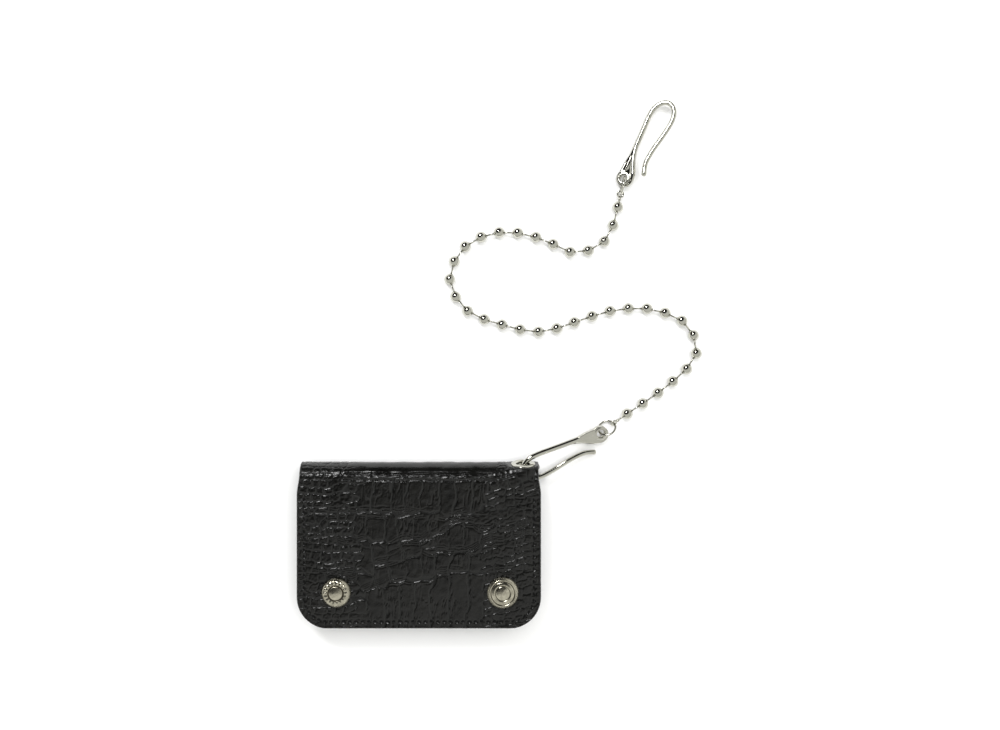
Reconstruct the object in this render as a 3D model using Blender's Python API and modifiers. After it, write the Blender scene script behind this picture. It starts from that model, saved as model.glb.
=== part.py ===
"""Chain wallet: a snap wallet of two leather leaves, tied by a bead chain to a belt hook.

Metres, +Z up. The closed wallet lies on its back leaf. The origin is the centre of the back
leaf's outer face, +X runs along the fold and +Y points to the fold. A fish hook goes through
the grommet in the fold, and the chain lies on the table from there to the belt hook.
"""

import math

import bmesh
import bpy
from mathutils import Matrix, Vector

MM = 0.001
GAP = 0.3 * MM

# Leather shell
LENGTH = 115 * MM
DEPTH = 78 * MM
THICKNESS = 17 * MM
LEATHER = 1.8 * MM
CORNER = 14.7 * MM
FOLD_RADIUS = THICKNESS / 2
FOLD_Y = DEPTH / 2 - FOLD_RADIUS
BEND_Y = 27 * MM
LAYER_INSET = 0.5 * MM

# Inner layers: lower face's height, thickness, and the edge nearest the fold
LAYERS = {
    "back_lining": (2.1 * MM, 0.7 * MM, 27 * MM),
    "bill_divider": (3.1 * MM, 0.9 * MM, 26 * MM),
    "card_pocket_rear": (4.3 * MM, 0.8 * MM, 21 * MM),
    "card_pocket_front": (5.4 * MM, 0.8 * MM, 15 * MM),
    "coin_pocket_back": (6.5 * MM, 0.5 * MM, 10 * MM),
    "slip_pocket_front": (11.9 * MM, 0.9 * MM, 14 * MM),
    "slip_pocket_rear": (13.1 * MM, 0.9 * MM, 20 * MM),
    "flap_lining": (14.3 * MM, 0.6 * MM, 26.2 * MM),
}
PANEL_LOW = 7.9 * MM
PANEL_THICKNESS = 0.8 * MM

# Coin pocket zipper, along X
ZIP_Y = 2.5 * MM
ZIP_SLOT = 8 * MM
ZIP_HALF_LENGTH = 47 * MM
TAPE_LOW = 7.3 * MM
TAPE_THICKNESS = 0.3 * MM
TAPE_WIDTH = 9 * MM
COIL_WIDTH = 1.5 * MM
COIL_HEIGHT = 1.0 * MM
SLIDER_X = 40 * MM
SLIDER_LENGTH = 8 * MM
SLIDER_WIDTH = 5.6 * MM
SLIDER_WALL = 0.6 * MM
BRIDGE_WIDTH = 1.2 * MM
BRIDGE_HEIGHT = 1.6 * MM
BRIDGE_INSET = 2.0 * MM
BRIDGE_LEG = 0.7 * MM
PULL_LENGTH = 13 * MM
PULL_WIDTH = 3.6 * MM
PULL_SIDE = 0.8 * MM
PULL_BAR = 0.8 * MM
PULL_BAR_SETBACK = 0.6 * MM
PULL_WINDOW = 3.0 * MM
STOP_LENGTH = 1.6 * MM
SMALL_PLATE = 0.5 * MM
COIL_GAP = 0.2 * MM

# Snaps
SNAP_Y = -22.1 * MM
SNAPS = {"left": (-38.9 * MM, 7.0 * MM), "right": (39.5 * MM, 7.5 * MM)}
CAP_RISE = 2.4 * MM
CAP_POST = 1.4 * MM
SOCKET_RADIUS = 4.6 * MM
SOCKET_LOW = 9.8 * MM
SOCKET_HEIGHT = 1.8 * MM
STUD_RADIUS = 1.9 * MM
STUD_TOP = 11.0 * MM
STUD_BASE_RADIUS = 4.0 * MM
STUD_POST = 1.1 * MM

# Grommet in the fold, its axis raised above the table's plane
GROMMET_X = 49.2 * MM
GROMMET_TILT = math.radians(15)
GROMMET_HOLE = 3.2 * MM
GROMMET_BARREL = 3.45 * MM
GROMMET_FLANGE = 5.7 * MM
PAD_FACE = 7.6 * MM
PAD_THICKNESS = 1.2 * MM
PAD_RADIUS = 6.3 * MM

# Fish hook, in its own plane: +X from the eye along the shank, +Y to the arm
HOOK_WIRE = 1.25 * MM
HOOK_EYE = Vector((0, 1.0 * MM, 0))
HOOK_EYE_HOLE = 1.85 * MM
HOOK_BOSS = 3.3 * MM
HOOK_PADDLE = Vector((0.3 * MM, 1.5 * MM, 0))
HOOK_PADDLE_RADIUS = 4.3 * MM
HOOK_PADDLE_THICKNESS = 2.2 * MM
HOOK_BOSS_RISE = 0.3 * MM
HOOK_NECK_X = 13 * MM
HOOK_WAIST_X = 7.3 * MM
HOOK_WAIST_LOW = -2.0 * MM
HOOK_WAIST_HIGH = 2.6 * MM
HOOK_LINE = [
    (4, 0), (12, 0), (22, 0), (33, 0), (37.8, 1.1), (41, 4.0), (41.3, 7.6), (38.6, 10.5),
    (33.5, 11.5), (26, 10.4), (18.5, 8.7), (12, 7.9), (8.5, 8.3), (5.4, 9.3),
]
HOOK_TILT = math.radians(20)
WALLET_EYE = Vector((86.3, 52.3, 4.3)) * MM
WALLET_SHANK = Vector((-0.941, -0.337, 0.165)).normalized()
BELT_EYE = Vector((97.9, 174.7, 2.9)) * MM
BELT_SHANK = Vector((0.403, 0.915, 0.0)).normalized()

# Rings and chain
RING_WIRE = 0.5 * MM
EYELET_RADIUS = 1.4 * MM
EYELET_WIRE = 0.45 * MM
CONNECTOR_NECK = 0.75 * MM
CONNECTOR_NECK_LENGTH = 1.6 * MM
WALLET_EYELET = Vector((93.0, 57.0, 3.0)) * MM
WALLET_RING_LEAN = math.radians(40)
BELT_EYELET = Vector((96.3, 167.3, 2.65)) * MM
BELT_RING_RADIUS = 4.2 * MM
BEADS = 34
BEAD_RADIUS = 2.65 * MM
BEAD_WALL = 0.5 * MM
BEAD_HOLE = 0.75 * MM
PIN_RADIUS = 0.4 * MM
PIN_HEAD = 0.8 * MM
PIN_HEAD_DEPTH = 2.0 * MM
GROUP_SIZES = [3] * 10 + [2] * 2
CHAIN_ROUTE = [
    (99.5, 61.5), (115, 72), (129, 84), (133, 93.5), (127, 105.5), (110, 112), (91.5, 111),
    (74, 105.5), (58, 101), (40.5, 104), (22, 111.5), (14, 127), (22, 142.5), (39, 149),
    (57.5, 146), (74.5, 139), (89.5, 145.5), (95, 161),
]


# ---------------------------------------------------------------- scene and materials


def clear_scene():
    for obj in list(bpy.data.objects):
        bpy.data.objects.remove(obj, do_unlink=True)


def new_collection(name):
    collection = bpy.data.collections.new(name)
    bpy.context.scene.collection.children.link(collection)
    return collection


def new_material(name, color, roughness, metallic):
    material = bpy.data.materials.new(name)
    material.use_nodes = True
    shader = material.node_tree.nodes["Principled BSDF"]
    shader.inputs["Base Color"].default_value = (*color, 1)
    shader.inputs["Roughness"].default_value = roughness
    shader.inputs["Metallic"].default_value = metallic
    material.diffuse_color = (*color, 1)
    return material


clear_scene()
PARTS = new_collection("chain_wallet")
CUTTERS = new_collection("cutters")
CUTTERS.hide_render = True

BLACK_LEATHER = (0.02, 0.019, 0.018), 0.38, 0.0
LINING = (0.03, 0.028, 0.026), 0.7, 0.0
TEXTILE = (0.02, 0.02, 0.02), 0.9, 0.0
NICKEL = (0.72, 0.7, 0.67), 0.15, 1.0
AGED_SILVER = (0.42, 0.4, 0.36), 0.35, 1.0


def finish(obj, look):
    """A part with its own material, in the part collection."""
    color, roughness, metallic = look
    obj.data.materials.clear()
    obj.data.materials.append(new_material(obj.name, color, roughness, metallic))
    for owner in list(obj.users_collection):
        owner.objects.unlink(obj)
    PARTS.objects.link(obj)
    return obj


def make_helper(obj):
    """A cutter or a piece to unite, kept out of the part collection."""
    for owner in list(obj.users_collection):
        owner.objects.unlink(obj)
    CUTTERS.objects.link(obj)
    obj.hide_render = True
    obj.display_type = "WIRE"
    return obj


def combine(obj, other, operation):
    make_helper(other)
    modifier = obj.modifiers.new(f"{operation.lower()}_{other.name}", "BOOLEAN")
    modifier.operation = operation
    modifier.object = other
    modifier.solver = "EXACT"


def cut(obj, *others):
    for other in others:
        combine(obj, other, "DIFFERENCE")


def unite(obj, *others):
    for other in others:
        combine(obj, other, "UNION")


def hang(child, parent):
    """Parents child to parent and leaves it where it is."""
    bpy.context.view_layer.update()
    child.parent = parent
    child.matrix_parent_inverse = parent.matrix_world.inverted()


def joint_empty(name, location):
    empty = bpy.data.objects.new(name, None)
    empty.empty_display_size = 5 * MM
    empty.location = location
    PARTS.objects.link(empty)
    return empty


# ---------------------------------------------------------------- shapes


def mesh_object(name, bm, matrix=None):
    mesh = bpy.data.meshes.new(name)
    bm.to_mesh(mesh)
    bm.free()
    obj = bpy.data.objects.new(name, mesh)
    bpy.context.scene.collection.objects.link(obj)
    if matrix:
        obj.matrix_world = matrix
    return obj


def as_mesh(obj):
    """Turns a curve object into a mesh object whose caps are welded to its sides."""
    bpy.context.view_layer.update()
    graph = bpy.context.evaluated_depsgraph_get()
    mesh = bpy.data.meshes.new_from_object(obj.evaluated_get(graph))
    bm = bmesh.new()
    bm.from_mesh(mesh)
    bmesh.ops.remove_doubles(bm, verts=bm.verts, dist=0.01 * MM)
    bm.to_mesh(mesh)
    bm.free()
    name = obj.name
    matrix = obj.matrix_world.copy()
    bpy.data.objects.remove(obj, do_unlink=True)
    made = bpy.data.objects.new(name, mesh)
    made.matrix_world = matrix
    bpy.context.scene.collection.objects.link(made)
    return made


def plate(name, outlines, low, thickness):
    """A flat plate from closed outlines; the second and later ones are its holes."""
    curve = bpy.data.curves.new(name, "CURVE")
    curve.dimensions = "2D"
    curve.fill_mode = "BOTH"
    curve.extrude = thickness / 2
    for outline in outlines:
        spline = curve.splines.new("POLY")
        spline.points.add(len(outline) - 1)
        for point, (x, y) in zip(spline.points, outline):
            point.co = (x, y, 0, 1)
        spline.use_cyclic_u = True
    obj = bpy.data.objects.new(name, curve)
    obj.location.z = low + thickness / 2
    bpy.context.scene.collection.objects.link(obj)
    return as_mesh(obj)


def tube(name, points, radii, matrix=None, resolution=2):
    """A round wire through the points, with a radius at each."""
    curve = bpy.data.curves.new(name, "CURVE")
    curve.dimensions = "3D"
    curve.bevel_depth = 1.0
    curve.bevel_resolution = resolution
    curve.use_fill_caps = True
    spline = curve.splines.new("POLY")
    spline.points.add(len(points) - 1)
    for point, place, radius in zip(spline.points, points, radii):
        point.co = (*place, 1)
        point.radius = radius
    obj = bpy.data.objects.new(name, curve)
    bpy.context.scene.collection.objects.link(obj)
    if matrix:
        obj.matrix_world = matrix
    return as_mesh(obj)


def turned(name, profile, matrix, steps=20, ring=False):
    """A turned piece about its own Z; the profile runs down the outer side from (radius, z)."""
    bm = bmesh.new()
    verts = [bm.verts.new((radius, 0, z)) for radius, z in profile]
    for first, second in zip(verts, verts[1:]):
        bm.edges.new((first, second))
    if ring:
        bm.edges.new((verts[-1], verts[0]))
    obj = mesh_object(name, bm, matrix)
    screw = obj.modifiers.new("turn", "SCREW")
    screw.steps = steps
    screw.render_steps = steps
    screw.use_merge_vertices = True
    screw.merge_threshold = 0.005 * MM
    screw.use_smooth_shade = True
    return obj


def sphere(name, center, radius, segments=10, rings=6):
    bm = bmesh.new()
    bmesh.ops.create_uvsphere(bm, u_segments=segments, v_segments=rings, radius=radius)
    for face in bm.faces:
        face.smooth = True
    return mesh_object(name, bm, Matrix.Translation(center))


def cylinder(name, matrix, radius, low, high, segments=24):
    """A cylinder along its own Z, from low to high."""
    bm = bmesh.new()
    bmesh.ops.create_cone(
        bm, cap_ends=True, segments=segments, radius1=radius, radius2=radius, depth=high - low
    )
    bmesh.ops.translate(bm, verts=bm.verts, vec=(0, 0, (low + high) / 2))
    return mesh_object(name, bm, matrix)


def box(name, low, high):
    bm = bmesh.new()
    bmesh.ops.create_cube(bm, size=1)
    size = Vector(high) - Vector(low)
    bmesh.ops.scale(bm, vec=size, verts=bm.verts)
    bmesh.ops.translate(bm, verts=bm.verts, vec=(Vector(low) + Vector(high)) / 2)
    return mesh_object(name, bm)


def torus(name, matrix, radius, wire, steps=20, sides=8):
    """A ring of round wire about its own Z."""
    turn = 2 * math.pi / sides
    profile = [
        (radius + wire * math.sin(turn * i), wire * math.cos(turn * i)) for i in range(sides)
    ]
    return turned(name, profile, matrix, steps, ring=True)


def axes_matrix(x, y, z, origin):
    """The matrix whose axes are x, y and z, placed at origin."""
    return Matrix.Translation(origin) @ Matrix((x, y, z)).transposed().to_4x4()


def frame_from(x_axis, near_y, origin):
    """A right-handed frame with this x axis and its y axis as near as can be to near_y."""
    x = x_axis.normalized()
    z = x.cross(near_y).normalized()
    return axes_matrix(x, z.cross(x), z, origin)


def arc(center, radius, start, end, steps):
    """Points of an arc, with its angles in degrees."""
    angles = [math.radians(start + (end - start) * i / steps) for i in range(steps + 1)]
    return [
        (center[0] + radius * math.cos(a), center[1] + radius * math.sin(a)) for a in angles
    ]


def circle(center, radius, steps=16):
    return arc(center, radius, 0, 360 * (steps - 1) / steps, steps - 1)


def smooth_line(points, steps):
    """A Catmull-Rom curve through the points, with this many steps between each two."""
    points = [Vector(p) for p in points]
    padded = [2 * points[0] - points[1], *points, 2 * points[-1] - points[-2]]
    line = []
    for a, b, c, d in zip(padded, padded[1:], padded[2:], padded[3:]):
        for i in range(steps):
            t = i / steps
            line.append(
                0.5 * (2 * b + (c - a) * t + (2 * a - 5 * b + 4 * c - d) * t**2
                       + (3 * b - 3 * c + d - a) * t**3)
            )
    return [*line, points[-1]]


# ---------------------------------------------------------------- leather and layers


def leaf_outline(inset, top):
    """A leaf seen from above: its two free corners are round, and top is its fold edge."""
    right = LENGTH / 2 - inset
    bottom = -DEPTH / 2 + inset
    radius = CORNER - inset
    return [
        *arc((-right + radius, bottom + radius), radius, 180, 270, 8),
        *arc((right - radius, bottom + radius), radius, 270, 360, 8),
        (right, top),
        (-right, top),
    ]


def shell_profile():
    """The back leaf and the fold seen along X, as (y, z): outer side, then inner side."""
    center = (FOLD_Y, FOLD_RADIUS)
    return [
        (-DEPTH / 2, 0),
        *arc(center, FOLD_RADIUS, -90, 90, 20),
        (BEND_Y, THICKNESS),
        (BEND_Y, THICKNESS - LEATHER),
        *arc(center, FOLD_RADIUS - LEATHER, 90, -90, 20),
        (-DEPTH / 2, LEATHER),
    ]


def grommet_frame():
    """Z points out of the grommet, and the origin is on the fold's own axis."""
    out = Vector((0, math.cos(GROMMET_TILT), math.sin(GROMMET_TILT)))
    return frame_from(Vector((1, 0, 0)), out.cross(Vector((1, 0, 0))),
                      Vector((GROMMET_X, FOLD_Y, FOLD_RADIUS)))


def make_leather_back():
    """Back leaf and fold: bent sheet, pressed flat round the grommet."""
    shell = plate("leather_back", [shell_profile()], -LENGTH / 2, LENGTH)
    shell.data.transform(Matrix(((0, 0, 1), (1, 0, 0), (0, 1, 0))).to_4x4())
    shell.data.transform(Matrix.Translation((shell.location.z, 0, 0)))
    shell.location.z = 0
    footprint = plate("leaf_trim", [leaf_outline(0, DEPTH / 2 + GAP)], -GAP, THICKNESS + 2 * GAP)
    combine(shell, footprint, "INTERSECT")
    place = grommet_frame()
    unite(shell, cylinder("pad", place, PAD_RADIUS, PAD_FACE - PAD_THICKNESS, PAD_FACE))
    cut(
        shell,
        cylinder("pad_outer_cut", place, PAD_RADIUS + 0.15 * MM, PAD_FACE, PAD_FACE + 4 * MM),
        cylinder("pad_inner_cut", place, 5 * MM, 2 * MM, PAD_FACE - PAD_THICKNESS),
        cylinder("grommet_hole", place, GROMMET_BARREL + 0.25 * MM, 0, PAD_FACE + 4 * MM),
    )
    return finish(shell, BLACK_LEATHER)


def snap_holes(radius):
    return [circle((x, SNAP_Y), radius) for x, _ in SNAPS.values()]


def make_leather_front():
    outline = leaf_outline(0, BEND_Y - GAP)
    holes = snap_holes(CAP_POST + GAP)
    return finish(
        plate("leather_front", [outline, *holes], THICKNESS - LEATHER, LEATHER), BLACK_LEATHER
    )


def make_layer(name):
    """One of the lining and pocket layers, each cut like the leaf it is sewn to."""
    low, thickness, top = LAYERS[name]
    holes = snap_holes(CAP_POST + GAP) if low > SOCKET_LOW else []
    look = LINING if "lining" in name or name == "coin_pocket_back" else BLACK_LEATHER
    return finish(plate(name, [leaf_outline(LAYER_INSET, top), *holes], low, thickness), look)


def make_coin_front():
    """The coin pocket's front, cut across by the zipper's slot: a lower and an upper panel."""
    side = LENGTH / 2 - LAYER_INSET
    slot_low = ZIP_Y - ZIP_SLOT / 2
    slot_high = ZIP_Y + ZIP_SLOT / 2
    lower = [leaf_outline(LAYER_INSET, slot_low), *snap_holes(STUD_POST + GAP)]
    top = LAYERS["coin_pocket_back"][2]
    upper = [(-side, slot_high), (side, slot_high), (side, top), (-side, top)]
    return [
        finish(plate("coin_front_lower", lower, PANEL_LOW, PANEL_THICKNESS), BLACK_LEATHER),
        finish(plate("coin_front_upper", [upper], PANEL_LOW, PANEL_THICKNESS), BLACK_LEATHER),
    ]


# ---------------------------------------------------------------- zipper


def make_zip_side(name, side):
    """A tape and its coil on one side of the zipper; side is 1 towards the fold."""
    edge = ZIP_Y + side * COIL_GAP
    reach = ZIP_Y + side * TAPE_WIDTH
    coil_reach = ZIP_Y + side * (COIL_GAP + COIL_WIDTH)
    tape = box(
        f"zip_tape_{name}",
        (-ZIP_HALF_LENGTH - 4 * MM, min(edge, reach), TAPE_LOW),
        (ZIP_HALF_LENGTH + 4 * MM, max(edge, reach), TAPE_LOW + TAPE_THICKNESS),
    )
    coil = box(
        f"zip_coil_{name}",
        (-ZIP_HALF_LENGTH, min(edge, coil_reach), PANEL_LOW),
        (ZIP_HALF_LENGTH, max(edge, coil_reach), PANEL_LOW + COIL_HEIGHT),
    )
    return [finish(tape, TEXTILE), finish(coil, TEXTILE)]


def make_zip_stop(name, x):
    low = PANEL_LOW + COIL_HEIGHT + GAP
    half = COIL_WIDTH + COIL_GAP
    stop = box(
        f"zip_stop_{name}",
        (x - STOP_LENGTH / 2, ZIP_Y - half, low),
        (x + STOP_LENGTH / 2, ZIP_Y + half, low + SMALL_PLATE),
    )
    return finish(stop, NICKEL)


def make_slider():
    """A channel over both coils, with an open bridge on top for the pull."""
    top = PANEL_LOW + COIL_HEIGHT + GAP + SLIDER_WALL
    half = SLIDER_WIDTH / 2
    start = SLIDER_X - SLIDER_LENGTH / 2
    end = SLIDER_X + SLIDER_LENGTH / 2
    slider = box("zip_slider", (start, ZIP_Y - half, PANEL_LOW), (end, ZIP_Y + half, top))
    room = half - SLIDER_WALL
    channel = box(
        "slider_channel",
        (start - MM, ZIP_Y - room, PANEL_LOW - MM),
        (end + MM, ZIP_Y + room, top - SLIDER_WALL),
    )
    bridge = box(
        "slider_bridge",
        (start + BRIDGE_INSET, ZIP_Y - BRIDGE_WIDTH / 2, top - 0.1 * MM),
        (end - BRIDGE_INSET, ZIP_Y + BRIDGE_WIDTH / 2, top + BRIDGE_HEIGHT),
    )
    leg = BRIDGE_INSET + BRIDGE_LEG
    window = box(
        "bridge_window",
        (start + leg, ZIP_Y - BRIDGE_WIDTH, top),
        (end - leg, ZIP_Y + BRIDGE_WIDTH, top + BRIDGE_HEIGHT - SLIDER_WALL),
    )
    cut(bridge, window)
    unite(slider, bridge)
    cut(slider, channel)
    return finish(slider, NICKEL)


def make_pull():
    """A flat tab whose end bar lies in the slider's bridge."""
    low = PANEL_LOW + COIL_HEIGHT + GAP + SLIDER_WALL + GAP
    bar = SLIDER_X - PULL_BAR_SETBACK
    half = PULL_WIDTH / 2
    pull = box(
        "zip_pull",
        (bar - PULL_LENGTH, ZIP_Y - half, low),
        (bar + PULL_BAR / 2, ZIP_Y + half, low + SMALL_PLATE),
    )
    inner = half - PULL_SIDE
    window_end = bar - PULL_BAR / 2
    window = box(
        "pull_window",
        (window_end - PULL_WINDOW, ZIP_Y - inner, low - MM),
        (window_end, ZIP_Y + inner, low + MM),
    )
    cut(pull, window)
    return finish(pull, NICKEL)


# ---------------------------------------------------------------- snaps and grommet


def make_snap(side):
    """Cap and socket on the flap, stud and its rivet on the coin pocket's front."""
    x, radius = SNAPS[side]
    place = Matrix.Translation((x, SNAP_Y, 0))
    base = THICKNESS + GAP
    cap = turned(
        f"snap_cap_{side}",
        [
            (0, base + CAP_RISE),
            (radius * 0.45, base + CAP_RISE * 0.94),
            (radius * 0.78, base + CAP_RISE * 0.78),
            (radius * 0.84, base + CAP_RISE * 0.62),
            (radius, base + CAP_RISE * 0.22),
            (radius, base),
            (CAP_POST, base),
            (CAP_POST, SOCKET_LOW + SOCKET_HEIGHT - GAP),
            (0, SOCKET_LOW + SOCKET_HEIGHT - GAP),
        ],
        place,
    )
    top = SOCKET_LOW + SOCKET_HEIGHT
    socket = turned(
        f"snap_socket_{side}",
        [
            (SOCKET_RADIUS, top),
            (SOCKET_RADIUS, SOCKET_LOW + 0.5 * MM),
            (SOCKET_RADIUS - 0.5 * MM, SOCKET_LOW),
            (STUD_RADIUS + 0.4 * MM, SOCKET_LOW),
            (STUD_RADIUS + 0.4 * MM, STUD_TOP + 0.15 * MM),
            (CAP_POST + GAP, STUD_TOP + 0.15 * MM),
            (CAP_POST + GAP, top),
        ],
        place,
        ring=True,
    )
    stud_base = PANEL_LOW + PANEL_THICKNESS + GAP
    stud = turned(
        f"snap_stud_{side}",
        [
            (0, STUD_TOP),
            (STUD_RADIUS - 0.4 * MM, STUD_TOP),
            (STUD_RADIUS, STUD_TOP - 0.5 * MM),
            (STUD_RADIUS - 0.4 * MM, STUD_TOP - MM),
            (STUD_RADIUS - 0.4 * MM, stud_base + 0.5 * MM),
            (STUD_BASE_RADIUS, stud_base + 0.5 * MM),
            (STUD_BASE_RADIUS, stud_base),
            (STUD_POST, stud_base),
            (STUD_POST, TAPE_LOW + 0.1 * MM),
            (0, TAPE_LOW + 0.1 * MM),
        ],
        place,
    )
    rivet = turned(
        f"stud_rivet_{side}",
        [
            (STUD_BASE_RADIUS, TAPE_LOW + TAPE_THICKNESS),
            (STUD_BASE_RADIUS, TAPE_LOW),
            (STUD_POST + GAP, TAPE_LOW),
            (STUD_POST + GAP, TAPE_LOW + TAPE_THICKNESS),
        ],
        place,
        ring=True,
    )
    return [finish(cap, AGED_SILVER)] + [finish(piece, NICKEL) for piece in (socket, stud, rivet)]


def make_grommet():
    """An eyelet with a rolled inner lip, and the washer that it is set against."""
    place = grommet_frame()
    outer = PAD_FACE + 0.25 * MM
    inner = PAD_FACE - PAD_THICKNESS - 0.25 * MM
    washer_low = inner - 0.4 * MM
    lip_high = washer_low - 0.2 * MM
    eyelet = turned(
        "grommet_eyelet",
        [
            (GROMMET_HOLE, outer + 0.5 * MM),
            (GROMMET_FLANGE - 0.5 * MM, outer + 0.6 * MM),
            (GROMMET_FLANGE, outer + 0.25 * MM),
            (GROMMET_FLANGE, outer),
            (GROMMET_BARREL, outer),
            (GROMMET_BARREL, lip_high),
            (GROMMET_BARREL + 0.6 * MM, lip_high),
            (GROMMET_BARREL + 0.6 * MM, lip_high - 0.3 * MM),
            (GROMMET_HOLE, lip_high - 0.3 * MM),
        ],
        place,
        ring=True,
    )
    washer = turned(
        "grommet_washer",
        [
            (4.8 * MM, inner),
            (4.8 * MM, washer_low),
            (GROMMET_BARREL + 0.25 * MM, washer_low),
            (GROMMET_BARREL + 0.25 * MM, inner),
        ],
        place,
        ring=True,
    )
    return [finish(eyelet, NICKEL), finish(washer, NICKEL)]


# ---------------------------------------------------------------- hooks


def hook_frame(eye, shank, tilt, side):
    """The hook's own frame: side is 1 if the arm lies to the left of the shank, seen from above."""
    level = Vector((-shank.y, shank.x, 0)).normalized() * side
    arm = Matrix.Rotation(tilt, 3, shank) @ level
    place = frame_from(shank, arm, Vector((0, 0, 0)))
    return Matrix.Translation(eye - place @ HOOK_EYE) @ place


def paddle_outline():
    """The flat eye end: a round that narrows with tangent sides into the shank."""
    return [
        *arc(HOOK_PADDLE, HOOK_PADDLE_RADIUS, 62, 298, 16),
        (HOOK_WAIST_X, HOOK_WAIST_LOW),
        (HOOK_NECK_X, -HOOK_WIRE * 0.9),
        (HOOK_NECK_X, HOOK_WIRE * 0.9),
        (HOOK_WAIST_X, HOOK_WAIST_HIGH),
    ]


def make_hook(name, place, pivot):
    """One cast hook: paddle with a bossed eye, shank, bend and free arm."""
    line = [p.to_3d() * MM for p in smooth_line(HOOK_LINE, 3)]
    hook = tube(name, line, [HOOK_WIRE] * len(line))
    unite(hook, sphere("tip", line[-1], HOOK_WIRE * 1.02, 8, 6))
    half = HOOK_PADDLE_THICKNESS / 2
    unite(hook, plate("paddle", [paddle_outline()], -half, 2 * half))
    eye = Matrix.Translation(HOOK_EYE)
    boss = half + HOOK_BOSS_RISE
    unite(hook, cylinder("boss", eye, HOOK_BOSS, -boss, boss, 16))
    cut(hook, cylinder("eye", eye, HOOK_EYE_HOLE, -3 * MM, 3 * MM, 16))
    hook = baked(hook)
    hook.data.transform(Matrix.Translation(-pivot) @ place)
    hook.location = pivot
    return finish(hook, NICKEL)


def baked(obj):
    """The same object with its modifiers applied and its helpers removed."""
    bpy.context.view_layer.update()
    graph = bpy.context.evaluated_depsgraph_get()
    mesh = bpy.data.meshes.new_from_object(obj.evaluated_get(graph))
    mesh.transform(obj.matrix_world)
    helpers = [m.object for m in obj.modifiers if m.type == "BOOLEAN"]
    name = obj.name
    for used in [obj, *helpers]:
        bpy.data.objects.remove(used, do_unlink=True)
    made = bpy.data.objects.new(name, mesh)
    bpy.context.scene.collection.objects.link(made)
    return made


def move_origin(obj, point):
    """Puts a baked object's origin at the point and leaves its shape where it is."""
    obj.data.transform(Matrix.Translation(-point))
    obj.location = point


# ---------------------------------------------------------------- rings and connectors


def make_ring(name, center, toward, lean, radius, pivot):
    """A ring of wire whose plane holds the direction toward, and rises sideways by lean."""
    level = Vector((toward.y, -toward.x, 0)).normalized()
    rise = level * math.cos(lean) + Vector((0, 0, math.sin(lean)))
    ring = baked(torus(name, frame_from(toward, rise, center), radius, RING_WIRE))
    move_origin(ring, pivot)
    return finish(ring, NICKEL)


def make_connector(name, eyelet, bead, through, pivot):
    """An eyelet on the ring, with a neck and a headed pin that goes into the bead."""
    along = (bead - eyelet).normalized()
    plane = frame_from(along, through.cross(along), eyelet)
    body = torus(name, plane, EYELET_RADIUS, EYELET_WIRE, 16, 6)
    head = bead - along * (BEAD_RADIUS - BEAD_WALL / 2 - PIN_HEAD_DEPTH)
    start = eyelet + along * EYELET_RADIUS
    unite(
        body,
        tube("neck", [start, start + along * CONNECTOR_NECK_LENGTH], [CONNECTOR_NECK] * 2),
        tube("pin", [start, head], [PIN_RADIUS] * 2),
        sphere("head", head, PIN_HEAD, 8, 5),
    )
    body = baked(body)
    move_origin(body, pivot)
    return finish(body, NICKEL)


# ---------------------------------------------------------------- bead chain


def bead_centers():
    """Bead centres at equal steps along the chain's smooth route, from the wallet to the belt."""
    line = [p.to_3d() * MM for p in smooth_line(CHAIN_ROUTE, 24)]
    lengths = [(b - a).length for a, b in zip(line, line[1:])]
    pitch = sum(lengths) / (BEADS - 1)
    centers = [line[0]]
    walked = 0.0
    for start, end, length in zip(line, line[1:], lengths):
        while len(centers) < BEADS and walked + length >= pitch * len(centers) - 1e-9:
            part = (pitch * len(centers) - walked) / length
            centers.append(start.lerp(end, part))
        walked += length
    return [c + Vector((0, 0, BEAD_RADIUS)) for c in centers]


def wall_point(center, toward):
    """The middle of a bead's wall on the side of the point toward."""
    return center + (toward - center).normalized() * (BEAD_RADIUS - BEAD_WALL / 2)


def hollow_bead(name, center, toward):
    """A bead with a cavity, and a hole in its wall on the side of the point toward."""
    bead = sphere(name, center, BEAD_RADIUS)
    out = (toward - center).normalized()
    place = frame_from(out, Vector((0, 0, 1)), center)
    hole = place @ Matrix.Rotation(math.pi / 2, 4, "Y")
    cut(
        bead,
        sphere("cavity", center, BEAD_RADIUS - BEAD_WALL, 10, 6),
        cylinder("bead_hole", hole, BEAD_HOLE, BEAD_RADIUS / 2, BEAD_RADIUS + MM, 8),
    )
    return baked(bead)


def make_group(index, beads, before, after):
    """Some beads of the chain and the pins between them, as one piece.

    Its first bead holds the head of the pin that comes from the point before. Its last pin goes
    into the bead at after, or the last bead holds the connector's pin if is_end.
    """
    is_end = index == len(GROUP_SIZES)
    body = hollow_bead(f"chain_{index:02d}", beads[0], before)
    start = wall_point(beads[0], beads[1])
    if is_end:
        solid = beads[1:-1]
        end = wall_point(beads[-1], beads[-2])
        unite(body, hollow_bead("end_bead", beads[-1], after))
    else:
        solid = beads[1:]
        end = wall_point(after, beads[-1])
        end += (after - end).normalized() * PIN_HEAD_DEPTH
        unite(body, sphere("head", end, PIN_HEAD, 8, 5))
    for center in solid:
        unite(body, sphere("bead", center, BEAD_RADIUS))
    line = [start, *solid, end]
    unite(body, tube("pins", line, [PIN_RADIUS] * len(line)))
    body = baked(body)
    move_origin(body, wall_point(beads[0], before))
    return finish(body, NICKEL)


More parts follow.
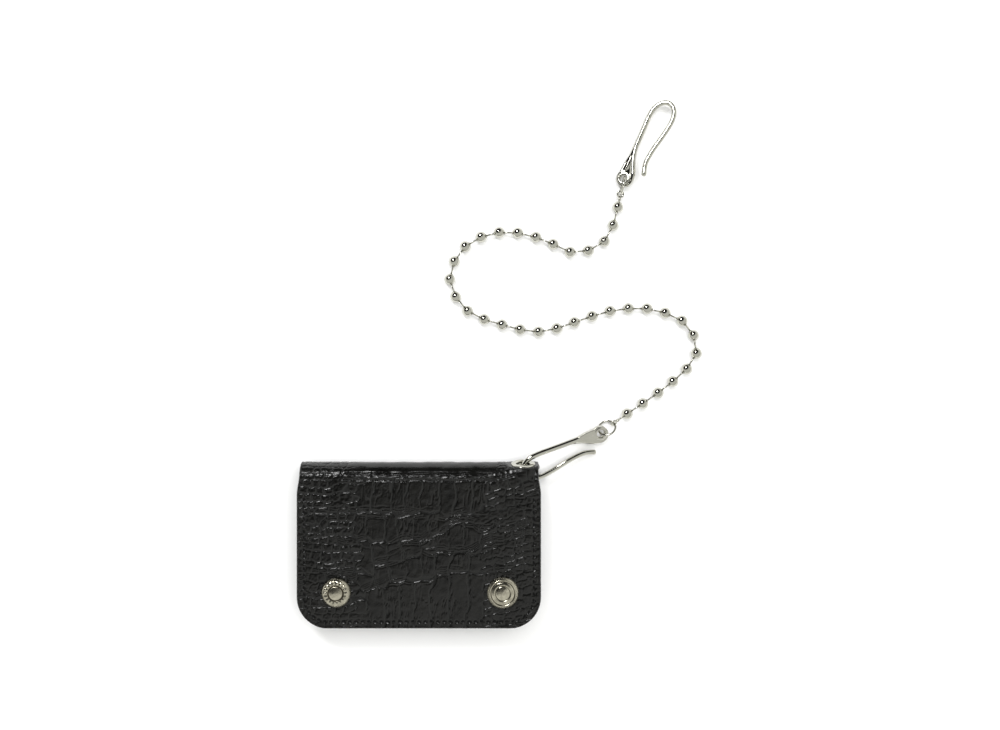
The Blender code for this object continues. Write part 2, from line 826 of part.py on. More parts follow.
def make_chain(centers):
    """The groups in order from the wallet's connector to the belt's."""
    groups = []
    first = 0
    for index, size in enumerate(GROUP_SIZES, start=1):
        beads = centers[first:first + size]
        before = centers[first - 1] if first else WALLET_EYELET
        last = first + size
        after = centers[last] if last < BEADS else BELT_EYELET
        groups.append(make_group(index, beads, before, after))
        first = last
    return groups


# ---------------------------------------------------------------- the assembly


def make_wallet():
    """Both leaves and what is sewn or riveted to them; the flap's pieces hang on its hinge."""
    hinge = joint_empty("flap_hinge", Vector((0, BEND_Y - GAP / 2, THICKNESS + 0.6 * MM)))
    make_leather_back()
    flap = [make_leather_front()]
    for name, (low, _, _) in LAYERS.items():
        layer = make_layer(name)
        if low > SOCKET_LOW:
            flap.append(layer)
    make_coin_front()
    make_zip_side("upper", 1)
    make_zip_side("lower", -1)
    make_zip_stop("left", -ZIP_HALF_LENGTH + MM)
    make_zip_stop("right", ZIP_HALF_LENGTH - MM)
    runner = joint_empty("slider_run", Vector((SLIDER_X, ZIP_Y, PANEL_LOW)))
    for piece in (make_slider(), make_pull()):
        hang(piece, runner)
    for side in SNAPS:
        cap, socket, _, _ = make_snap(side)
        flap += [cap, socket]
    for piece in flap:
        hang(piece, hinge)
    make_grommet()


def make_hooks_and_chain():
    centers = bead_centers()
    wallet_place = hook_frame(WALLET_EYE, WALLET_SHANK, -HOOK_TILT, 1)
    crossing = wallet_place @ (Vector((39.6, 2.4, 0)) * MM)
    wallet_hook = make_hook("wallet_hook", wallet_place, crossing)

    reach = WALLET_EYELET - WALLET_EYE
    wallet_ring = make_ring(
        "wallet_ring", WALLET_EYE + reach / 2, reach, WALLET_RING_LEAN, reach.length / 2, WALLET_EYE
    )
    side = Vector((reach.y, -reach.x, 0)).normalized()
    through = side * math.cos(WALLET_RING_LEAN) + Vector((0, 0, math.sin(WALLET_RING_LEAN)))
    wallet_connector = make_connector(
        "wallet_connector", WALLET_EYELET, centers[0], through, WALLET_EYELET
    )

    groups = make_chain(centers)
    belt_connector = make_connector(
        "belt_connector", BELT_EYELET, centers[-1], Vector((0, 0, 1)),
        wall_point(centers[-1], BELT_EYELET),
    )
    span = BELT_EYE - BELT_EYELET
    middle = BELT_EYELET + span / 2
    middle.z += math.sqrt(BELT_RING_RADIUS**2 - (span.length / 2) ** 2)
    belt_ring = make_ring(
        "belt_ring", middle, span, math.pi / 2, BELT_RING_RADIUS, BELT_EYELET
    )
    belt_place = hook_frame(BELT_EYE, BELT_SHANK, -HOOK_TILT, -1)
    belt_hook = make_hook("belt_hook", belt_place, BELT_EYE)

    line = [wallet_hook, wallet_ring, wallet_connector, *groups, belt_connector, belt_ring, belt_hook]
    for parent, child in zip(line, line[1:]):
        hang(child, parent)


make_wallet()
make_hooks_and_chain()
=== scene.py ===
"""The look of the chain wallet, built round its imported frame. Metres, in the frame's own axes."""

import math

import bmesh
import bpy
import numpy as np
from mathutils import Matrix, Vector


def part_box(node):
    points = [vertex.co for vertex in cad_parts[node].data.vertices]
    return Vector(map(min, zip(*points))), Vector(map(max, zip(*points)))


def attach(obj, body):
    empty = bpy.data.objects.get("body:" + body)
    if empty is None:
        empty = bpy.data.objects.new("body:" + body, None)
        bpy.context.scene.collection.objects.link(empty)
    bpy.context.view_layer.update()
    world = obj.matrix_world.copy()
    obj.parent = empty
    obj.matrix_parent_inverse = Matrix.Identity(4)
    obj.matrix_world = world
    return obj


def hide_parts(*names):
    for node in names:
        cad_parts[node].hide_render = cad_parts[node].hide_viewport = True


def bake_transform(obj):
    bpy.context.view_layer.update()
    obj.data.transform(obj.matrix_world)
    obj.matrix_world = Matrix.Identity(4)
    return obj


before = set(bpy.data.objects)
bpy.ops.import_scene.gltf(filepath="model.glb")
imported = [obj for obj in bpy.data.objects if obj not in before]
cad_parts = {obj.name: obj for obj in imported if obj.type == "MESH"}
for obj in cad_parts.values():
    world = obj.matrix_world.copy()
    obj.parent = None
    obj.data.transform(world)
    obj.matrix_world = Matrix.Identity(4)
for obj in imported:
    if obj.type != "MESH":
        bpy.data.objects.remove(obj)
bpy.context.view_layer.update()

MM = 0.001
STAGE_MIDDLE = Vector((0.0382, 0.0850, 0))
BACK = "back_leaf"
FLAP = "flap"

# Leather shell, in millimetres
HALF_LENGTH = 57.5
BOTTOM = -39.0
THICKNESS = 17.0
LEATHER = 1.8
CORNER = 14.7
FOLD_RADIUS = THICKNESS / 2
FOLD_Y = -BOTTOM - FOLD_RADIUS
FOLD_LENGTH = math.pi * FOLD_RADIUS
BACK_START = FOLD_Y + FOLD_LENGTH
BACK_END = BACK_START + FOLD_Y - BOTTOM
FOLD_TAPER = 1.1
STITCH_INSET = 3.4
STITCH_PITCH = 2.95
STITCH_TOP = 23.0
STITCH_DEPTH = 0.42
GRID_PITCH = 0.3
EDGE_ROUNDING = 0.55

# Snaps and grommet
SNAP_Y = -22.1
SNAPS = {"left": (-38.9, 7.0), "right": (39.5, 7.5)}
CAP_BASE = THICKNESS + 0.1
CAP_RISE = 2.5
CAP_STEPS = 128
GROMMET_X = 49.2
GROMMET_TILT = math.radians(15)
GROMMET_HOLE = 3.9
PAD_FACE = 7.6
PAD_RADIUS = 5.9
PAD_EDGE = 9.0

# Inner layers and zipper
SEAM_SINK = 0.12
COIL_PITCH = 1.25

# Hooks, rings and chain: the same route and places as the frame's own pieces
HOOK_WIRE = 1.25
HOOK_EYE = Vector((0, 1.0, 0))
EYE_HOLE = 1.85
PLATE_HALF = 1.05
BOSS_RADIUS = 3.0
BOSS_HEIGHT = 2.7
CAST_VOXEL = 0.16
HOOK_LINE = [
    (4, 0), (12, 0), (22, 0), (33, 0), (37.8, 1.1), (41, 4.0), (41.3, 7.6), (38.6, 10.5),
    (33.5, 11.5), (26, 10.4), (18.5, 8.7), (12, 7.9), (8.5, 8.3), (5.4, 9.3),
]
HOOK_TILT = math.radians(20)
WALLET_EYE = Vector((86.3, 52.3, 4.3))
WALLET_SHANK = Vector((-0.941, -0.337, 0.165)).normalized()
BELT_EYE = Vector((97.9, 174.7, 2.9))
BELT_SHANK = Vector((0.403, 0.915, 0.0)).normalized()
RING_WIRE = 0.5
EYELET_RADIUS = 1.4
EYELET_WIRE = 0.45
WALLET_EYELET = Vector((93.0, 57.0, 3.0))
WALLET_RING_LEAN = math.radians(40)
BELT_EYELET = Vector((96.3, 167.3, 2.65))
BELT_RING_RADIUS = 4.2
BEADS = 34
BEAD_RADIUS = 2.65
BEAD_WALL = 0.5
DENT_ANGLE = 0.36
DENT_DEPTH = 0.35
PIN_RADIUS = 0.4
PIN_HEAD_DEPTH = 2.0
GROUP_SIZES = [3] * 10 + [2] * 2
CHAIN_ROUTE = [
    (99.5, 61.5), (115, 72), (129, 84), (133, 93.5), (127, 105.5), (110, 112), (91.5, 111),
    (74, 105.5), (58, 101), (40.5, 104), (22, 111.5), (14, 127), (22, 142.5), (39, 149),
    (57.5, 146), (74.5, 139), (89.5, 145.5), (95, 161),
]


# ---- camera, light and floor


def add_object(name, data):
    obj = bpy.data.objects.new(name, data)
    bpy.context.scene.collection.objects.link(obj)
    return obj


def make_camera():
    """Straight above the object, as far off as a studio stand."""
    camera = add_object("camera", bpy.data.cameras.new("camera"))
    camera.location = STAGE_MIDDLE + Vector((0, 0, 0.600))
    camera.data.lens = 44.63
    camera.data.clip_start = 0.05
    camera.data.clip_end = 20
    bpy.context.scene.camera = camera


def area_light(name, location, size, power, in_reflections):
    """A round soft light that faces the middle of the stage."""
    light = bpy.data.lights.new(name, "AREA")
    light.shape = "DISK"
    light.size = size
    light.energy = power
    obj = add_object(name, light)
    obj.location = location
    obj.rotation_euler = (STAGE_MIDDLE - obj.location).to_track_quat("-Z", "Y").to_euler()
    obj.visible_glossy = in_reflections


def direction(tilt):
    """Towards the upper left of the table, tilted this many degrees off the vertical."""
    tilt = math.radians(tilt)
    return Vector((-0.5 * math.sin(tilt), 0.866 * math.sin(tilt), math.cos(tilt)))


def make_world():
    """A bright room with one dark patch overhead, round the window-like key light."""
    world = bpy.data.worlds.new("studio")
    bpy.context.scene.world = world
    world.use_nodes = True
    nodes, links = world.node_tree.nodes, world.node_tree.links
    coordinates = nodes.new("ShaderNodeTexCoord")
    dot = nodes.new("ShaderNodeVectorMath")
    dot.operation = "DOT_PRODUCT"
    dot.inputs[1].default_value = direction(47)
    ramp = nodes.new("ShaderNodeValToRGB")
    ramp.color_ramp.elements[0].position = math.cos(math.radians(56))
    ramp.color_ramp.elements[0].color = (0.8, 0.8, 0.77, 1)
    ramp.color_ramp.elements[1].position = math.cos(math.radians(48))
    ramp.color_ramp.elements[1].color = (0.02, 0.02, 0.02, 1)
    links.new(coordinates.outputs["Generated"], dot.inputs[0])
    links.new(dot.outputs["Value"], ramp.inputs["Fac"])
    links.new(ramp.outputs["Color"], nodes["Background"].inputs["Color"])


def make_studio():
    """Camera, lights and a white table that the wallet and chain lie on."""
    make_camera()
    make_world()
    area_light("key", STAGE_MIDDLE + 1.4 * direction(42), 0.4, 9.5, True)
    area_light("overhead_fill", STAGE_MIDDLE + Vector((0.35, 0.4, 1.7)), 1.8, 29.0, False)
    bpy.context.scene.view_settings.view_transform = "Standard"
    bm = bmesh.new()
    bmesh.ops.create_grid(bm, x_segments=1, y_segments=1, size=3)
    mesh = bpy.data.meshes.new("floor")
    bm.to_mesh(mesh)
    bm.free()
    floor = add_object("floor", mesh)
    material = bpy.data.materials.new("floor_white")
    material.use_nodes = True
    shader = material.node_tree.nodes["Principled BSDF"]
    shader.inputs["Base Color"].default_value = (0.9, 0.9, 0.9, 1)
    shader.inputs["Roughness"].default_value = 0.9
    shader.inputs["Specular IOR Level"].default_value = 0.0
    mesh.materials.append(material)


# ---- materials


class Nodes:
    """Short calls that add nodes to one material."""

    def __init__(self, name):
        self.material = bpy.data.materials.new(name)
        self.material.use_nodes = True
        self.tree = self.material.node_tree
        self.shader = self.tree.nodes["Principled BSDF"]
        self.place = self.tree.nodes.new("ShaderNodeTexCoord").outputs["Object"]

    def feed(self, socket, value):
        """Links an output into a socket, or sets a number or a colour there."""
        if hasattr(value, "links"):
            self.tree.links.new(value, socket)
        elif isinstance(value, tuple):
            socket.default_value = (*value, 1)
        else:
            socket.default_value = value

    def add(self, kind, **settings):
        node = self.tree.nodes.new(kind)
        for name, value in settings.items():
            setattr(node, name, value)
        return node

    def noise(self, scale, detail=4.0, stretch=(1, 1, 1)):
        mapping = self.add("ShaderNodeMapping")
        mapping.inputs["Scale"].default_value = stretch
        self.feed(mapping.inputs["Vector"], self.place)
        node = self.add("ShaderNodeTexNoise")
        self.feed(node.inputs["Scale"], scale)
        self.feed(node.inputs["Detail"], detail)
        self.feed(node.inputs["Vector"], mapping.outputs["Vector"])
        return node.outputs["Fac"]

    def cells(self, scale):
        node = self.add("ShaderNodeTexVoronoi", feature="DISTANCE_TO_EDGE")
        self.feed(node.inputs["Scale"], scale)
        self.feed(node.inputs["Vector"], self.place)
        return node.outputs["Distance"]

    def attribute(self, name):
        return self.add("ShaderNodeAttribute", attribute_name=name).outputs["Fac"]

    def spread(self, value, low, high, to_low, to_high):
        node = self.add("ShaderNodeMapRange")
        for index, number in enumerate((value, low, high, to_low, to_high)):
            self.feed(node.inputs[index], number)
        return node.outputs[0]

    def math(self, operation, first, second):
        node = self.add("ShaderNodeMath", operation=operation)
        self.feed(node.inputs[0], first)
        self.feed(node.inputs[1], second)
        return node.outputs[0]

    def mix(self, factor, first, second):
        node = self.add("ShaderNodeMix", data_type="RGBA")
        for name, value in (("Factor", factor), ("A", first), ("B", second)):
            self.feed(node.inputs[name], value)
        return node.outputs["Result"]

    def bump(self, height, distance, strength=1.0, under=None):
        node = self.add("ShaderNodeBump")
        self.feed(node.inputs["Distance"], distance)
        self.feed(node.inputs["Strength"], strength)
        self.feed(node.inputs["Height"], height)
        if under is not None:
            self.feed(node.inputs["Normal"], under)
        return node.outputs["Normal"]

    def set(self, name, value):
        self.feed(self.shader.inputs[name], value)


def embossed_leather():
    """Black glazed leather with a reptile emboss: dull in the grooves, polished on the scales, with painted
    shade darkening the grooves.
    """
    n = Nodes("embossed_leather")
    groove = n.attribute("groove")
    patches = n.spread(n.noise(90), 0.35, 0.7, 0, 1)
    tone = n.mix(patches, (0.0022, 0.0022, 0.0019), (0.0046, 0.0045, 0.0039))
    # Painted shade: the groove mask mixes the base colour down to 0.0012 in the grooves, fine folds and
    # stitch pits, where shade falls.
    n.set("Base Color", n.mix(groove, tone, (0.0012, 0.0012, 0.001)))
    polish = n.spread(n.noise(140, 6), 0.3, 0.7, 0.14, 0.26)
    n.set("Roughness", n.math("ADD", polish, n.math("MULTIPLY", groove, 0.24)))
    grain = n.bump(n.cells(2600), 0.00004, 0.45)
    n.set("Normal", n.bump(n.noise(900, 6), 0.00008, 0.5, grain))
    n.set("Specular IOR Level", 0.46)
    return n.material


def pocket_leather():
    """Plain black leather with a fine pebbled grain."""
    n = Nodes("pocket_leather")
    n.set("Base Color", n.mix(n.noise(120), (0.004, 0.0038, 0.0036), (0.008, 0.0077, 0.007)))
    n.set("Roughness", n.spread(n.noise(60), 0.3, 0.7, 0.4, 0.55))
    pebble = n.bump(n.cells(1100), 0.00025, 0.8)
    n.set("Normal", n.bump(n.noise(350), 0.0002, 0.6, pebble))
    return n.material


def lining_material():
    """Soft black lining with a suede nap."""
    n = Nodes("lining")
    n.set("Base Color", n.mix(n.noise(300, 8), (0.006, 0.0057, 0.0053), (0.014, 0.0133, 0.0122)))
    n.set("Roughness", n.spread(n.noise(80), 0.3, 0.7, 0.75, 0.92))
    n.set("Normal", n.bump(n.noise(1800, 6), 0.00015, 0.7))
    n.set("Sheen Weight", 0.25)
    return n.material


def woven_textile():
    """Zipper tape: a close rib along the zipper's length."""
    n = Nodes("zip_textile")
    ribs = n.noise(1500, 2, (0.15, 1, 1))
    n.set("Base Color", n.mix(ribs, (0.006, 0.006, 0.006), (0.03, 0.03, 0.03)))
    n.set("Roughness", n.spread(ribs, 0.3, 0.7, 0.7, 0.95))
    n.set("Normal", n.bump(ribs, 0.0002, 0.8))
    return n.material


def nickel_material():
    """Polished nickel plate with faint handling marks."""
    n = Nodes("nickel")
    n.set("Base Color", n.mix(n.noise(200), (0.49, 0.485, 0.43), (0.56, 0.555, 0.495)))
    n.set("Metallic", 1.0)
    n.set("Roughness", n.spread(n.noise(500, 6), 0.3, 0.75, 0.05, 0.12))
    n.set("Normal", n.bump(n.noise(700, 3, (1, 6, 1)), 0.00001, 0.15))
    return n.material


def aged_silver_material():
    """Silvered caps with a brown patina left in the low places."""
    n = Nodes("aged_silver")
    low = n.attribute("groove")
    patches = n.spread(n.noise(420, 6), 0.35, 0.7, 0, 0.45)
    patina = n.math("MAXIMUM", low, patches)
    n.set("Base Color", n.mix(patina, (0.6, 0.57, 0.46), (0.05, 0.042, 0.026)))
    n.set("Metallic", 1.0)
    dull = n.math("MULTIPLY", patina, 0.25)
    n.set("Roughness", n.math("ADD", dull, n.spread(n.noise(900), 0.3, 0.7, 0.12, 0.22)))
    n.set("Normal", n.bump(n.noise(1500, 5), 0.00006, 0.5))
    return n.material


def thread_material():
    """Waxed black thread with the twist of its strands."""
    n = Nodes("thread")
    twist = n.noise(2500, 2, (1, 0.4, 1))
    n.set("Base Color", n.mix(twist, (0.002, 0.002, 0.002), (0.008, 0.008, 0.008)))
    n.set("Roughness", n.spread(twist, 0.3, 0.7, 0.75, 0.95))
    n.set("Specular IOR Level", 0.15)
    n.set("Normal", n.bump(twist, 0.0001, 0.6))
    return n.material


def edge_material():
    """Leather edge, burnished and painted black."""
    n = Nodes("edge_paint")
    n.set("Base Color", n.mix(n.noise(500), (0.008, 0.008, 0.008), (0.018, 0.017, 0.016)))
    n.set("Roughness", n.spread(n.noise(300), 0.3, 0.7, 0.35, 0.55))
    n.set("Normal", n.bump(n.noise(1200), 0.0001, 0.5))
    return n.material


# ---- mesh helpers


def linked(name, mesh, materials):
    """An object for a mesh, shaded smooth."""
    mesh.shade_smooth()
    for material in materials:
        mesh.materials.append(material)
    return add_object(name, mesh)


def new_object(name, verts, faces, materials):
    """A mesh object from points in millimetres."""
    mesh = bpy.data.meshes.new(name)
    mesh.from_pydata([tuple(v * MM for v in p) for p in verts], [], faces)
    mesh.update()
    return linked(name, mesh, materials)


def bm_object(name, bm, materials):
    """A mesh object from bm, whose points are in millimetres."""
    bmesh.ops.recalc_face_normals(bm, faces=bm.faces)
    bmesh.ops.scale(bm, vec=(MM, MM, MM), verts=bm.verts)
    mesh = bpy.data.meshes.new(name)
    bm.to_mesh(mesh)
    bm.free()
    return linked(name, mesh, materials)


def close_seams(obj):
    """Joins the points that a turned piece repeats on its axis, and faces it outwards."""
    bm = bmesh.new()
    bm.from_mesh(obj.data)
    bmesh.ops.remove_doubles(bm, verts=bm.verts, dist=0.002 * MM)
    bmesh.ops.recalc_face_normals(bm, faces=bm.faces)
    bm.to_mesh(obj.data)
    bm.free()


def add_attribute(obj, name, values):
    """Stores one number for each point, for the materials to read."""
    layer = obj.data.attributes.new(name, "FLOAT", "POINT")
    layer.data.foreach_set("value", np.asarray(values, np.float32))


def place_piece(obj, body, slot, *nodes):
    """Puts a piece on its body and hides the nodes that it stands for; the slot is not used."""
    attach(obj, body)
    if nodes:
        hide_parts(*nodes)


def grid_faces(rows, columns):
    """The four-sided faces between the points of a grid."""
    index = np.arange(rows * columns).reshape(rows, columns)
    quads = np.stack([index[:-1, :-1], index[:-1, 1:], index[1:, 1:], index[1:, :-1]], axis=-1)
    return quads.reshape(-1, 4)


def smoothstep(low, high, value):
    t = np.clip((value - low) / (high - low), 0, 1)
    return t * t * (3 - 2 * t)


def bell(value, middle, width):
    return np.exp(-(((value - middle) / width) ** 2))


def value_noise(x, y, cell, seed):
    """Smooth noise between -1 and 1, with features about cell wide."""
    table = np.random.default_rng(seed).uniform(-1, 1, (64, 64))
    u, v = x / cell + 1000, y / cell + 1000
    i, j = np.floor(u).astype(int), np.floor(v).astype(int)
    a, b = u - i, v - j
    a, b = a * a * (3 - 2 * a), b * b * (3 - 2 * b)
    i, j = i % 64, j % 64
    k, m = (i + 1) % 64, (j + 1) % 64
    low = table[i, j] * (1 - a) + table[k, j] * a
    high = table[i, m] * (1 - a) + table[k, m] * a
    return low * (1 - b) + high * b


def frame_from(x_axis, near_y, origin):
    """Axes at origin, with X along x_axis and Y as near as it can be to near_y."""
    x = x_axis.normalized()
    z = x.cross(near_y).normalized()
    turn = Matrix((x, z.cross(x), z)).transposed()
    return Matrix.Translation(origin) @ turn.to_4x4()


def ring_faces(low, high, steps):
    """Faces between two rings of points, from the number of each ring's first point."""
    turn = [(j, (j + 1) % steps) for j in range(steps)]
    return [(low + j, low + m, high + m, high + j) for j, m in turn]


def revolve(name, profile, matrix, materials, steps=64):
    """A turned piece about its own Z from a closed profile of (radius, z)."""
    turn = np.arange(steps) * 2 * math.pi / steps
    verts = [
        matrix @ Vector((radius * math.cos(angle), radius * math.sin(angle), z))
        for radius, z in profile
        for angle in turn
    ]
    faces = []
    for i in range(len(profile)):
        faces += ring_faces(i * steps, (i + 1) % len(profile) * steps, steps)
    obj = new_object(name, verts, faces, materials)
    close_seams(obj)
    obj.data.set_sharp_from_angle(angle=math.radians(50))
    return obj


def smooth_line(points, steps):
    """A Catmull-Rom curve through the points, with this many steps between each two."""
    points = [Vector(p) for p in points]
    padded = [2 * points[0] - points[1], *points, 2 * points[-1] - points[-2]]
    line = []
    for a, b, c, d in zip(padded, padded[1:], padded[2:], padded[3:]):
        for i in range(steps):
            t = i / steps
            line.append(
                0.5 * (2 * b + (c - a) * t + (2 * a - 5 * b + 4 * c - d) * t**2
                       + (3 * b - 3 * c + d - a) * t**3)
            )
    return [*line, points[-1]]


def tube_mesh(bm, points, radii, sides=16):
    """Adds a closed round tube through the points to bm, without twist."""
    rings = []
    side = None
    for i, point in enumerate(points):
        ahead = (points[min(i + 1, len(points) - 1)] - points[max(i - 1, 0)]).normalized()
        if side is None:
            side = ahead.orthogonal().normalized()
        side = (side - ahead * side.dot(ahead)).normalized()
        up = ahead.cross(side)
        ring = []
        for j in range(sides):
            a = 2 * math.pi * j / sides
            ring.append(bm.verts.new(point + (side * math.cos(a) + up * math.sin(a)) * radii[i]))
        rings.append(ring)
    for first, second in zip(rings, rings[1:]):
        for j in range(sides):
            m = (j + 1) % sides
            bm.faces.new((first[j], first[m], second[m], second[j]))
    bm.faces.new(list(reversed(rings[0])))
    bm.faces.new(rings[-1])


def prism(bm, outline, low_z, high_z):
    """Adds a flat block to bm, from its outline and the heights of its two faces."""
    low = [bm.verts.new((x, y, low_z)) for x, y in outline]
    high = [bm.verts.new((x, y, high_z)) for x, y in outline]
    bm.faces.new(high)
    bm.faces.new(list(reversed(low)))
    for i in range(len(outline)):
        k = (i + 1) % len(outline)
        bm.faces.new((high[i], low[i], low[k], high[k]))


def nickel_piece(name, bm, node, nickel):
    """A metal piece in its node's place, on the body of the same name."""
    place_piece(bm_object(name, bm, [nickel]), node, "nickel", node)


def applied(obj):
    """The object, with all of its modifiers applied."""
    graph = bpy.context.evaluated_depsgraph_get()
    graph.update()
    mesh = bpy.data.meshes.new_from_object(obj.evaluated_get(graph))
    old = obj.data
    obj.modifiers.clear()
    obj.data = mesh
    bpy.data.meshes.remove(old)
    return obj


def node_box(node):
    """Low and high corners of a node, in millimetres."""
    return [Vector(c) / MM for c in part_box(node)]


def dress(node, material):
    """Gives a piece of the frame itself its material."""
    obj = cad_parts[node]
    obj.data.materials.clear()
    obj.data.materials.append(material)
    return obj


def soften(node, material, width):
    """Gives a metal node its material and rounded edges."""
    obj = dress(node, material)
    bevel = obj.modifiers.new("edges", "BEVEL")
    bevel.width = width * MM
    bevel.segments = 3
    bevel.limit_method = "ANGLE"
    bevel.angle_limit = math.radians(40)


# ---- reptile emboss


# Creases across the leather, as (x, s) points. s is y on the flap, and runs on from there round
# the fold and down the back leaf.
CREASES = [
    [(-60, 33), (60, 33)],
    [(-60, 16), (-30, 15.2), (0, 14.6), (16, 14), (28, 15.5), (36, 22), (60, 27)],
    [(-60, 4), (-26, 1.8), (-16, -0.6), (-8, 2.7), (1, 2.6), (6, 5.1), (11.5, 9.3), (17, 12),
     (28, 9), (40, 8), (60, 12)],
    [(-60, -14), (-31, -14.2), (-23, -9.5), (-14, -7.7), (-6.5, -4.4), (1, -1.4), (10, -3),
     (22, -3.3), (31, 1), (37, 2.7), (60, 6)],
    [(-60, -24), (-28, -21.8), (-20, -18.5), (-13, -16.1), (-7, -15.2), (1, -16.6), (11, -12.8),
     (22, -13.5), (33, -12.4), (60, -10)],
    [(-60, -35), (-25, -35.2), (0, -34.6), (25, -35.5), (60, -34)],
]
# Fine folds beside each crease, as (distance from it, strength)
FINE_FOLDS = [(0.0, 1.0), (0.9, 0.9), (1.9, 0.7), (-1.0, 0.9), (-2.1, 0.6), (3.0, 0.4)]
# The large scales lie between these two places along x
BROAD_LEFT = -31.0
BROAD_RIGHT = 29.0


def crease(index, x):
    """Where this crease lies at x."""
    points = CREASES[index]
    return np.interp(x, [p[0] for p in points], [p[1] for p in points])


def broad_cells(rng):
    """Large oblong scales in rows between the creases."""
    cells = []
    for row in range(len(CREASES) - 1):
        x = BROAD_LEFT + rng.uniform(-2, 2)
        while x < BROAD_RIGHT:
            high, low = crease(row, x), crease(row + 1, x)
            width = rng.uniform(3.2, 4.6)
            cells.append((x + width, (high + low) / 2, width, max((high - low) / 2, 2.0)))
            x += 2 * width
    s = 40.0
    while s < BACK_END:
        height = rng.uniform(6.0, 8.0)
        x = BROAD_LEFT - rng.uniform(0, 4)
        while x < BROAD_RIGHT + 4:
            width = rng.uniform(3.6, 5.2)
            cells.append((x + width, s + rng.uniform(-0.8, 0.8), width, height))
            x += 2 * width
        s += 2 * height
    return cells


def small_cells(rng):
    """Small round scales down both flanks."""
    cells = []
    for left, right in ((-HALF_LENGTH - 2, BROAD_LEFT), (BROAD_RIGHT, HALF_LENGTH + 2)):
        s = BOTTOM - 2
        row = 0
        while s < BACK_END + 2:
            height = rng.uniform(1.5, 2.1)
            x = left + (row % 2) * 2.0
            while x < right + 1:
                near = min(abs(x - BROAD_LEFT), abs(x - BROAD_RIGHT))
                width = rng.uniform(1.9, 2.5) * (1.35 if near < 7 else 1.0)
                lean = 0.25 * (x - BROAD_RIGHT) if x > 0 else 0.0
                cells.append((x + width, s + lean + rng.uniform(-0.5, 0.5), width, height))
                x += 2 * width
            s += 2 * height
            row += 1
    return cells


def scale_field(x, s):
    """Distance to the nearest groove between scales, and the breadth of the scale there."""
    rng = np.random.default_rng(7)
    cells = np.array(broad_cells(rng) + small_cells(rng))
    x = x + 1.3 * value_noise(x, s, 5.5, 1) + 0.45 * value_noise(x, s, 1.6, 2)
    s = s + 1.6 * value_noise(x, s, 7.0, 3) + 0.4 * value_noise(x, s, 1.5, 4)
    first = np.full(x.shape, 1e9)
    second = np.full(x.shape, 1e9)
    breadth = np.ones(x.shape)
    for cx, cs, hx, hs in cells:
        near = (np.abs(x - cx) < 3 * hx) & (np.abs(s - cs) < 3 * hs)
        if not near.any():
            continue
        d = (np.abs((x[near] - cx) / hx) ** 3.2 + np.abs((s[near] - cs) / hs) ** 3.2) ** (1 / 3.2)
        f, g = first[near], second[near]
        closer = d < f
        second[near] = np.where(closer, f, np.minimum(g, d))
        first[near] = np.where(closer, d, f)
        breadth[near] = np.where(closer, min(hx, hs), breadth[near])
    return (second - first) * breadth * 0.5, breadth


def leather_relief(x, s):
    """Height of the leather's face against its nominal surface, at most 0, and its groove mask."""
    edge, breadth = scale_field(x, s)
    broad = smoothstep(2.3, 3.2, breadth)
    on_fold = smoothstep(31.5, 34, s) * (1 - smoothstep(53, 58, s))
    plain = on_fold * smoothstep(-36, -30, x) * (1 - smoothstep(34, 40, x))
    reach = (0.44 + 0.14 * broad) * (1 + 0.35 * value_noise(x, s, 3.0, 61))
    groove = 1 - smoothstep(0.0, 1.0, edge / reach)
    clear = 0.3 + 0.7 * smoothstep(-0.7, 0.35, value_noise(x, s, 6.5, 60))
    depth = (0.36 - 0.02 * broad) * clear * (1 - 0.9 * plain) * (1 - 0.3 * on_fold)
    height = -depth * groove
    fine = np.zeros(x.shape)
    for cell, seed, strength in ((1.5, 11, 0.17), (0.75, 12, 0.1)):
        lines = value_noise(x + 0.5 * value_noise(x, s, 8.0, seed + 5), s * 0.1, cell, seed)
        worn = smoothstep(-0.1, 0.5, value_noise(x, s, 7.0, seed + 9))
        fine += strength * worn * (1 - smoothstep(0.0, 0.14, np.abs(lines)))
    height -= fine * broad * (1 - on_fold)
    folds = np.zeros(x.shape)
    for index in range(len(CREASES) - 1):
        off = s - crease(index, x) - 0.9 * value_noise(x, s, 5.0, 20 + index)
        off = off - 0.35 * value_noise(x, s, 1.7, 40 + index)
        for shift, strength in FINE_FOLDS:
            along = value_noise(x, np.full(x.shape, 3 * shift), 6.0, 30 + index)
            worn = smoothstep(-0.25, 0.35, along)
            folds += strength * worn * bell(off, shift, 0.22)
    across = smoothstep(-50, -30, x) * (1 - 0.6 * smoothstep(32, 50, x))
    folds = np.minimum(folds, 1) * (1 - on_fold) * (0.35 + 0.65 * across)
    height -= 0.27 * folds
    ridge = s - 32.2 - 0.5 * value_noise(x, s, 8.0, 70)
    middle = smoothstep(-38, -31, x) * (1 - smoothstep(31, 36, x))
    height -= 0.4 * middle * bell(ridge, -1.6, 0.5)
    height -= 0.3 * middle * bell(ridge, 1.5, 0.6)
    height -= 0.035 * (1 + value_noise(x, s, 0.8, 50)) * (1 - broad)
    height -= 0.04 * (1 + value_noise(x, s, 2.2, 51))
    height -= 0.12 * (1 + value_noise(x, s, 4.5, 52)) * plain
    # This mask gives the grooves and fine folds both a duller roughness and painted shade in the base
    # colour.
    return height, np.clip(groove * clear * (1 - plain) + 0.5 * folds, 0, 1)


# ---- leather shell


def half_width(s):
    """Half the leather's width at s: round at its free corners, and drawn in at the fold."""
    from_end = np.minimum(s - BOTTOM, BACK_END - s)
    inner = np.clip(CORNER - from_end, 0, CORNER)
    taper = FOLD_TAPER * smoothstep(24, 33, s) * (1 - smoothstep(54, 63, s))
    return HALF_LENGTH - CORNER + np.sqrt(CORNER**2 - inner**2) - taper


